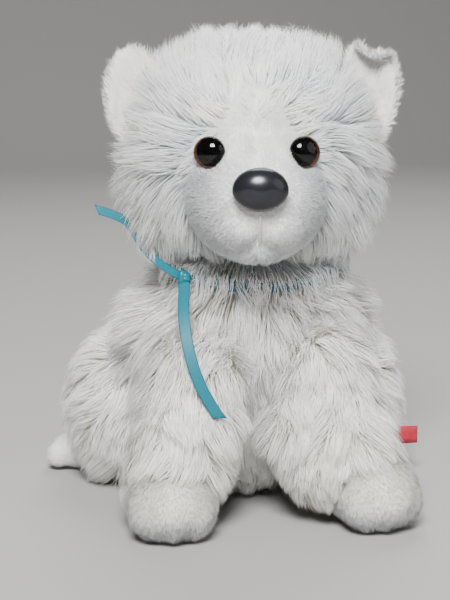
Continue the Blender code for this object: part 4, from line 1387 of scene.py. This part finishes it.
class PLUSH_OT_hind_legs(bpy.types.Operator):
    """Thighs with long pile, and the small paws that poke out beside them."""
    bl_idname = "plush.hind_legs"
    bl_label = "Hind legs"

    def execute(self, context):
        settings = pile_settings()
        for index, (side, sign) in enumerate(SIDES):
            body = "hind_leg_" + side
            centre, size = middle(f"thigh_outer_{side}", f"thigh_inner_{side}")
            bm = bmesh.new()
            ball(bm, centre, (size.x / 2 - 0.002, size.y / 2 - 0.002, size.z / 2 - 0.002))
            skin = stuffed("thigh_skin_" + side, bm, 0.0045, 4, backing_material())
            finish_piece(
                skin, body,
                (f"thigh_outer_{side}", f"thigh_inner_{side}", f"thigh_filling_{side}"),
            )
            look = dict(LONG_LOOK, width=settings.thickness, droop=0.35, lift=0.8, rise=0.22)
            pile_on(
                skin, "thigh_fur_" + side, body, 600 + index, 0.95,
                lambda p, n: np.tile(np.array([0.25 * sign, 0.45, -0.75]), (len(p), 1)),
                settings.long_pile * 0.85, look,
                pile_material("body_pile", WARM_ROOT_SHADE),
                region=lambda p, n: ((p[:, 0] * sign) > centre.x * sign - 0.012) & (p[:, 2] > 0.004),
                tint=lambda p: 0.10 * blend_step(-p[:, 2], -0.08, -0.02),
            )
            place, paw_size = middle("hind_paw_" + side)
            bm = bmesh.new()
            turn = Matrix.Rotation(sign * math.radians(12), 3, "Z")
            ball(bm, place, (paw_size.x / 2 - 0.003, 0.0125, paw_size.z / 2 - 0.001), turn)
            for toe in (-1, 0, 1):
                spot = place + turn @ Vector((sign * 0.0125, toe * 0.006, -0.002))
                ball(bm, spot, (0.0075, 0.0058, 0.0080), turn)
            paw = stuffed("hind_paw_skin_" + side, bm, 0.0020, 3, None)
            for vert in paw.data.vertices:
                vert.co.z = max(vert.co.z, 0.0010)
            white = tuple(settings.white)
            paw.data.materials.append(
                ground_material("plush_ground", white, tuple(c * 0.74 for c in white), 1500.0, 90.0)
            )
            finish_piece(paw, body, (f"hind_paw_{side}",))
            pile_on(
                paw, "hind_paw_plush_" + side, body, 620 + index, 4.0,
                lambda p, n: np.tile(np.array([sign, 0.0, -0.4]), (len(p), 1)),
                settings.short_pile, SHORT_LOOK,
                pile_material("short_white_pile", PALE_ROOT_SHADE), region=lambda p, n: p[:, 2] > 0.002,
            )
        return {"FINISHED"}


class PLUSH_OT_tail(bpy.types.Operator):
    """Bushy tail."""
    bl_idname = "plush.tail"
    bl_label = "Tail"

    def execute(self, context):
        settings = pile_settings()
        centre, size = middle("tail_upper", "tail_lower")
        bm = bmesh.new()
        ball(bm, centre, (size.x / 2 - 0.003, size.y / 2 - 0.003, size.z / 2 - 0.003))
        skin = stuffed("tail_skin", bm, 0.0035, 4, backing_material())
        finish_piece(
            skin, "tail", ("tail_upper", "tail_lower", "tail_filling")
        )
        look = dict(LONG_LOOK, width=settings.thickness, droop=0.25, lift=0.8, rise=0.25)
        root = np.array(joint_of("tail_wag")["pos_m"])
        pile_on(
            skin, "tail_fur", "tail", 700, 1.1,
            lambda p, n: unit(p - root) + np.array([0, 0.8, 0]),
            settings.long_pile * 0.8, look, pile_material("body_pile", WARM_ROOT_SHADE),
        )
        return {"FINISHED"}


# ---------------------------------------------------------------- ribbon and label

FRONT_END = [
    (-0.0444, -0.0840, 0.1402),
    (-0.0452, -0.0900, 0.1362), (-0.0472, -0.1025, 0.1262), (-0.0470, -0.1120, 0.1140),
    (-0.0445, -0.1175, 0.1005), (-0.0398, -0.1205, 0.0870), (-0.0332, -0.1220, 0.0750),
    (-0.0302, -0.1224, 0.0705),
]
BACK_END = [
    (-0.0460, -0.0826, 0.1430),
    (-0.0503, -0.0829, 0.1452), (-0.0590, -0.0785, 0.1510), (-0.0660, -0.0725, 0.1580),
    (-0.0710, -0.0665, 0.1660), (-0.0755, -0.0615, 0.1722), (-0.0825, -0.0580, 0.1755),
    (-0.0905, -0.0570, 0.1780),
]
KNOT = middle("ribbon_knot")[0]


def smooth_route(points, steps):
    """Read points off a smooth curve through a route's own points."""
    places = [Vector(point) for point in points]
    ends = [places[0] * 2 - places[1], *places, places[-1] * 2 - places[-2]]
    out = []
    for before, start, end, after in zip(ends, ends[1:], ends[2:], ends[3:]):
        for step in range(steps):
            t = step / steps
            bend = (2 * before - 5 * start + 4 * end - after) * t * t
            twist = (3 * start - before - 3 * end + after) * t ** 3
            out.append(0.5 * (2 * start + (end - before) * t + bend + twist))
    out.append(places[-1])
    return out


def collar_point(angle):
    wide, deep = COLLAR_RADII
    ahead = -deep * math.cos(angle)
    return COLLAR_MIDDLE + Vector((-wide * math.sin(angle), ahead, ahead * math.tan(COLLAR_SLOPE)))


def ribbon_band(name, points, sides, closed, crown=0.0003, slant=0.0):
    """Draw a row of points along a route, one extrusion at a time, and give it its thickness."""
    width = trim_settings().ribbon_width
    bm = bmesh.new()
    shares = [-0.5, -0.42, -0.2, 0.0, 0.2, 0.42, 0.5]
    row = [bm.verts.new((share, 0, 0)) for share in shares]
    edges = [bm.edges.new(pair) for pair in zip(row, row[1:])]
    uv = bm.loops.layers.uv.new("band")
    rows = [row]
    for _ in points[1:]:
        grown = bmesh.ops.extrude_edge_only(bm, edges=edges)["geom"]
        edges = [item for item in grown if isinstance(item, bmesh.types.BMEdge)]
        edges = [edge for edge in edges if not set(edge.verts) & set(row)]
        verts = [item for item in grown if isinstance(item, bmesh.types.BMVert)]
        row = sorted(verts, key=lambda vert: vert.co.x)
        rows.append(row)
        for vert, share in zip(row, shares):
            vert.co = (share, 0, 0)
    run = 0.0
    places = {}
    for index, row in enumerate(rows):
        point, side = points[index], sides[index].normalized()
        ahead = points[min(index + 1, len(points) - 1)] - points[max(index - 1, 0)]
        face = ahead.cross(side).normalized()
        run += (point - points[index - 1]).length if index else 0
        last = index == len(rows) - 1
        for vert, share in zip(row, shares):
            lift = crown * (1 - (2 * share) ** 2)
            cut = ahead.normalized() * (slant * share) if last else Vector()
            vert.co = point + side * (share * width) + face * lift + cut
            places[vert] = (share + 0.5, run / width)
    for side_face in bm.faces:
        for loop in side_face.loops:
            loop[uv].uv = places[loop.vert]
    if closed:
        ends = [edge for edge in bm.edges if set(edge.verts) <= set(rows[0])]
        ends += [edge for edge in bm.edges if set(edge.verts) <= set(rows[-1])]
        bmesh.ops.bridge_loops(bm, edges=ends)
    bmesh.ops.recalc_face_normals(bm, faces=bm.faces)
    made = piece(name, bm, satin_material())
    wall = made.modifiers.new("thickness", "SOLIDIFY")
    wall.thickness = 0.00035
    wall.offset = 0
    return made


def satin_material():
    found = bpy.data.materials.get("satin")
    if found:
        return found
    made, tree, shader = new_material("satin")
    link = tree.links.new
    colour = trim_settings().ribbon
    uv = add_node(tree, "ShaderNodeUVMap", uv_map="band")
    split = add_node(tree, "ShaderNodeSeparateXYZ")
    link(uv.outputs["UV"], split.inputs[0])
    stretch = add_node(tree, "ShaderNodeMapping")
    stretch.inputs["Scale"].default_value = (3.0, 60.0, 1.0)
    link(uv.outputs["UV"], stretch.inputs["Vector"])
    weft = add_node(tree, "ShaderNodeTexNoise", Scale=4.0, Detail=2.0)
    link(stretch.outputs["Vector"], weft.inputs["Vector"])
    shine = add_node(tree, "ShaderNodeMix", data_type="RGBA")
    link(weft.outputs["Fac"], shine.inputs["Factor"])
    shine.inputs["A"].default_value = (colour[0] * 0.7, colour[1] * 0.72, colour[2] * 0.75, 1)
    shine.inputs["B"].default_value = (colour[0] + 0.01, colour[1] * 1.25, colour[2] * 1.2, 1)
    rim = add_node(tree, "ShaderNodeMath", operation="PINGPONG")
    rim.inputs[1].default_value = 0.5
    link(split.outputs["X"], rim.inputs[0])
    edge = add_node(tree, "ShaderNodeMapRange")
    edge.inputs["From Min"].default_value = 0.03
    edge.inputs["From Max"].default_value = 0.10
    edge.inputs["To Min"].default_value = 0.62
    link(rim.outputs[0], edge.inputs["Value"])
    darker = add_node(tree, "ShaderNodeMix", data_type="RGBA", blend_type="MULTIPLY")
    darker.inputs["Factor"].default_value = 1.0
    link(shine.outputs["Result"], darker.inputs["A"])
    link(edge.outputs["Result"], darker.inputs["B"])
    link(darker.outputs["Result"], shader.inputs["Base Color"])
    shader.inputs["Roughness"].default_value = 0.40
    shader.inputs["Specular IOR Level"].default_value = 0.30
    bump_into(tree, shader, weft.outputs["Fac"], 0.35, 0.0002)
    return made


def clear_ribbons(path):
    """Lay the pile flat under the hanging ribbon end and under the collar."""
    tree = KDTree(400)
    route = smooth_route(FRONT_END, 60)
    tree = KDTree(len(route))
    for index, point in enumerate(route):
        tree.insert((point.x, 0, point.z), index)
    tree.balance()
    half = trim_settings().ribbon_width / 2
    flat = path.reshape(-1, 3)
    near = (np.abs(flat[:, 0] + 0.040) < 0.018) & (flat[:, 1] < -0.075)
    near &= (flat[:, 2] > 0.064) & (flat[:, 2] < 0.142)
    for index in np.nonzero(near)[0]:
        x, y, z = flat[index]
        _, nearest, gap = tree.find((x, 0, z))
        limit = route[nearest].y + 0.0016
        if gap < half + 0.0022 and y < limit:
            flat[index, 1] = limit
        elif gap < half + 0.006 and y < limit - 0.002:
            flat[index, 1] = limit - 0.002
    away = flat - np.array(COLLAR_MIDDLE)
    radius = np.hypot(away[:, 0] / COLLAR_RADII[0], away[:, 1] / COLLAR_RADII[1])
    height = away[:, 2] - away[:, 1] * math.tan(COLLAR_SLOPE)
    under = (np.abs(height) < half + 0.0015) & (radius > 0.955)
    scale = np.where(under, 0.955 / np.maximum(radius, 1e-6), 1.0)
    flat[:, 0] = COLLAR_MIDDLE.x + away[:, 0] * scale
    flat[:, 1] = COLLAR_MIDDLE.y + away[:, 1] * scale


class PLUSH_OT_ribbon(bpy.types.Operator):
    """Satin ribbon: collar, knot and two cut ends."""
    bl_idname = "plush.ribbon"
    bl_label = "Ribbon"

    def execute(self, context):
        steps = 72
        ring = [collar_point(math.tau * step / steps) for step in range(steps)]
        up = Vector((0, -math.sin(COLLAR_SLOPE), math.cos(COLLAR_SLOPE)))
        collar = ribbon_band("collar_band", ring, [up] * steps, True)
        finish_piece(collar, "torso", ("ribbon_collar",))
        knot = piece("collar_knot", ribbon_knot(), knot_material())
        finish_piece(knot, "torso", ("ribbon_knot",))
        for name, route, node, sides in (
            ("ribbon_tail_front", FRONT_END, "ribbon_front_end", ((1, -0.15, 0.1), (0.93, 0.1, 0.42))),
            ("ribbon_tail_back", BACK_END, "ribbon_back_end", ((0.4, 0.8, 0.5), (0.2, 0.75, 0.7))),
        ):
            points = smooth_route(route, 6)
            last = len(points) - 1
            first_side, last_side = Vector(sides[0]), Vector(sides[1])
            across = [first_side.lerp(last_side, i / last) for i in range(last + 1)]
            band = ribbon_band(name, points, across, False, 0.0002, 0.004)
            finish_piece(band, "torso", (node,))
        return {"FINISHED"}


def ribbon_knot():
    """A tight wrapped knot with its folds running around it."""
    bm = bmesh.new()
    ball(bm, (0, 0, 0), (0.0045, 0.0036, 0.0044), None, 40, 28)
    for vert in bm.verts:
        place = vert.co
        fold = math.sin(place.z * 2600 + place.x * 900)
        vert.co = place * (1 + 0.05 * fold)
    ball(bm, (0.0004, -0.0020, 0.0), (0.0022, 0.0026, 0.0046), None, 24, 16)
    outward = Vector((KNOT.x, KNOT.y - NECK.y, 0)).normalized()
    turn = Matrix.Rotation(math.atan2(outward.x, -outward.y), 3, "Z")
    bmesh.ops.rotate(bm, cent=(0, 0, 0), matrix=turn, verts=bm.verts)
    bmesh.ops.translate(bm, vec=KNOT, verts=bm.verts)
    return bm


def knot_material():
    colour = trim_settings().ribbon
    return plastic_material("satin_knot", tuple(c * 0.9 for c in colour), 0.32, 0.1, 900.0, 0.3)


LABEL_SHOWS = 0.006     # the loop past the seam tape, out to the ends of the pile


class PLUSH_OT_label(bpy.types.Operator):
    """Plain folded label caught in the side seam."""
    bl_idname = "plush.label"
    bl_label = "Label"

    def execute(self, context):
        place, size = middle("side_label")
        bm = bmesh.new()
        rows = 9
        left = [bm.verts.new((0, 0, 0)) for _ in range(rows)]
        for index, vert in enumerate(left):
            angle = math.pi * index / (rows - 1)
            vert.co = (
                place.x - size.x / 2 + (size.x + LABEL_SHOWS) * math.sin(angle) * 0.98,
                place.y - size.y * 0.32 * math.cos(angle),
                place.z - size.z / 2,
            )
        edges = [bm.edges.new(pair) for pair in zip(left, left[1:])]
        grown = bmesh.ops.extrude_edge_only(bm, edges=edges)["geom"]
        moved = [item for item in grown if isinstance(item, bmesh.types.BMVert)]
        bmesh.ops.translate(bm, vec=(0, 0, size.z), verts=moved)
        bmesh.ops.subdivide_edges(bm, edges=list(bm.edges), cuts=2, use_grid_fill=True)
        colour = tuple(trim_settings().label)
        material = ground_material(
            "label_tape", colour, tuple(c * 0.6 for c in colour), 2600.0, 200.0, 0.5, 0.1
        )
        made = piece("label_loop", bm, material)
        wall = made.modifiers.new("thickness", "SOLIDIFY")
        wall.thickness = 0.00035
        wall.offset = 0
        finish_piece(made, "hind_leg_left", ("side_label",))
        return {"FINISHED"}


# ---------------------------------------------------------------- what the frame shows itself

class PLUSH_OT_inside(bpy.types.Operator):
    """Finishes for the pieces kept from the frame: fillings, neck, washers, pouch, stitch."""
    bl_idname = "plush.inside"
    bl_label = "Inner pieces"

    def execute(self, context):
        settings = pile_settings()
        white = tuple(settings.white)
        fibre = ground_material("loose_fibre", (0.93, 0.93, 0.92), (0.80, 0.80, 0.79), 350.0, 45.0)
        cloth = ground_material("neck_cloth", white, tuple(c * 0.7 for c in white), 1100.0, 70.0)
        pouch = ground_material("pouch_cloth", (0.80, 0.78, 0.74), (0.5, 0.48, 0.44), 1900.0, 150.0)
        washer = plastic_material("washer_plastic", (0.85, 0.85, 0.84), 0.45)
        shank = plastic_material("shank_plastic", (0.010, 0.010, 0.012), 0.30)
        thread = ground_material("stitch_thread", (0.72, 0.71, 0.69), (0.5, 0.49, 0.47), 3000.0)
        for node in frame["nodes"]:
            if "filling" in node:
                finish = fibre
            elif node == "neck_plug":
                finish = cloth
            elif node == "bean_pouch":
                finish = pouch
            elif "washer" in node:
                finish = washer
            elif node == "nose_shank":
                finish = shank
            elif node == "mouth_stitch":
                finish = thread
            else:
                continue
            for slot in bpy.data.objects[node].material_slots:
                slot.material = finish
        return {"FINISHED"}


# ---------------------------------------------------------------- stage

class PLUSH_OT_stage(bpy.types.Operator):
    """Pale floor, soft lights and the camera."""
    bl_idname = "plush.stage"
    bl_label = "Stage"

    def execute(self, context):
        material, tree, shader = new_material("stage_floor")
        shader.inputs["Base Color"].default_value = (0.38, 0.375, 0.365, 1)
        shader.inputs["Roughness"].default_value = 0.8
        floor = piece("stage_floor", sweep(), material)
        add_light("key_light", (-0.35, -1.55, 1.55), 102, 0.8)
        add_light("fill_light", (1.5, -1.1, 0.9), 7, 1.6)
        add_light("back_light", (0.3, 1.0, 1.6), 24, 1.2)
        world = bpy.data.worlds.new("stage_world")
        world.use_nodes = True
        world.node_tree.nodes["Background"].inputs["Color"].default_value = (0.60, 0.60, 0.60, 1)
        world.node_tree.nodes["Background"].inputs["Strength"].default_value = 0.16
        context.scene.world = world
        add_camera()
        return {"FINISHED"}


def sweep():
    """The floor, curving up behind into a plain wall."""
    bm = bmesh.new()
    last = bm.verts.new((-5, -3, 0))
    line = [last]
    for degrees in range(0, 91, 9):
        angle = math.radians(degrees)
        place = (-5, 1.9 + 0.8 * math.sin(angle), 0.8 - 0.8 * math.cos(angle))
        line.append(bm.verts.new(place))
    line.append(bm.verts.new((-5, 2.7, 4)))
    edges = [bm.edges.new(pair) for pair in zip(line, line[1:])]
    grown = bmesh.ops.extrude_edge_only(bm, edges=edges)
    moved = [item for item in grown["geom"] if isinstance(item, bmesh.types.BMVert)]
    bmesh.ops.translate(bm, vec=(10, 0, 0), verts=moved)
    bmesh.ops.recalc_face_normals(bm, faces=bm.faces)
    return bm


def add_light(name, place, power, size):
    data = bpy.data.lights.new(name, "AREA")
    data.energy = power
    data.shape = "DISK"
    data.size = size
    made = bpy.data.objects.new(name, data)
    made.location = place
    aim = Vector((0, -0.04, 0.14)) - Vector(place)
    made.rotation_euler = aim.to_track_quat("-Z", "Y").to_euler()
    bpy.context.collection.objects.link(made)


def add_camera():
    data = bpy.data.cameras.new("camera")
    data.lens = 93.2
    data.clip_start = 0.05
    made = bpy.data.objects.new("camera", data)
    around = math.radians(-10)
    distance = 0.905
    made.location = (
        NECK.x + distance * math.sin(around),
        NECK.y - distance * math.cos(around),
        0.290,
    )
    pitch = math.radians(90 - 10.6)
    aside = math.radians(0.92)
    made.rotation_euler = (pitch, 0, around + aside)
    bpy.context.collection.objects.link(made)
    bpy.context.scene.camera = made


# ---------------------------------------------------------------- panel and registration

class PLUSH_PT_maker(bpy.types.Panel):
    bl_idname = "PLUSH_PT_maker"
    bl_label = "Plush dog"
    bl_space_type = "VIEW_3D"
    bl_region_type = "UI"
    bl_category = "Plush"

    def draw(self, context):
        column = self.layout.column()
        for name in ("long_pile", "ruff_pile", "short_pile", "thickness", "density", "white"):
            column.prop(context.scene.plush_pile, name)
        for name in ("ribbon", "ribbon_width", "label", "iris"):
            column.prop(context.scene.plush_trim, name)
        for operator in OPERATORS:
            column.operator(operator.bl_idname)


OPERATORS = (
    PLUSH_OT_stage, PLUSH_OT_ribbon, PLUSH_OT_inside, PLUSH_OT_label, PLUSH_OT_head,
    PLUSH_OT_face, PLUSH_OT_eyes, PLUSH_OT_nose, PLUSH_OT_ears,
    PLUSH_OT_torso, PLUSH_OT_front_legs, PLUSH_OT_hind_legs, PLUSH_OT_tail,
)
CLASSES = (PlushPile, PlushTrim, *OPERATORS, PLUSH_PT_maker)


def register():
    for cls in CLASSES:
        bpy.utils.register_class(cls)
    bpy.types.Scene.plush_pile = bpy.props.PointerProperty(type=PlushPile)
    bpy.types.Scene.plush_trim = bpy.props.PointerProperty(type=PlushTrim)


def unregister():
    del bpy.types.Scene.plush_trim
    del bpy.types.Scene.plush_pile
    for cls in reversed(CLASSES):
        bpy.utils.unregister_class(cls)


def main():
    register()
    for operator in OPERATORS:
        family, name = operator.bl_idname.split(".")
        getattr(getattr(bpy.ops, family), name)()


if __name__ == "__main__":
    main()
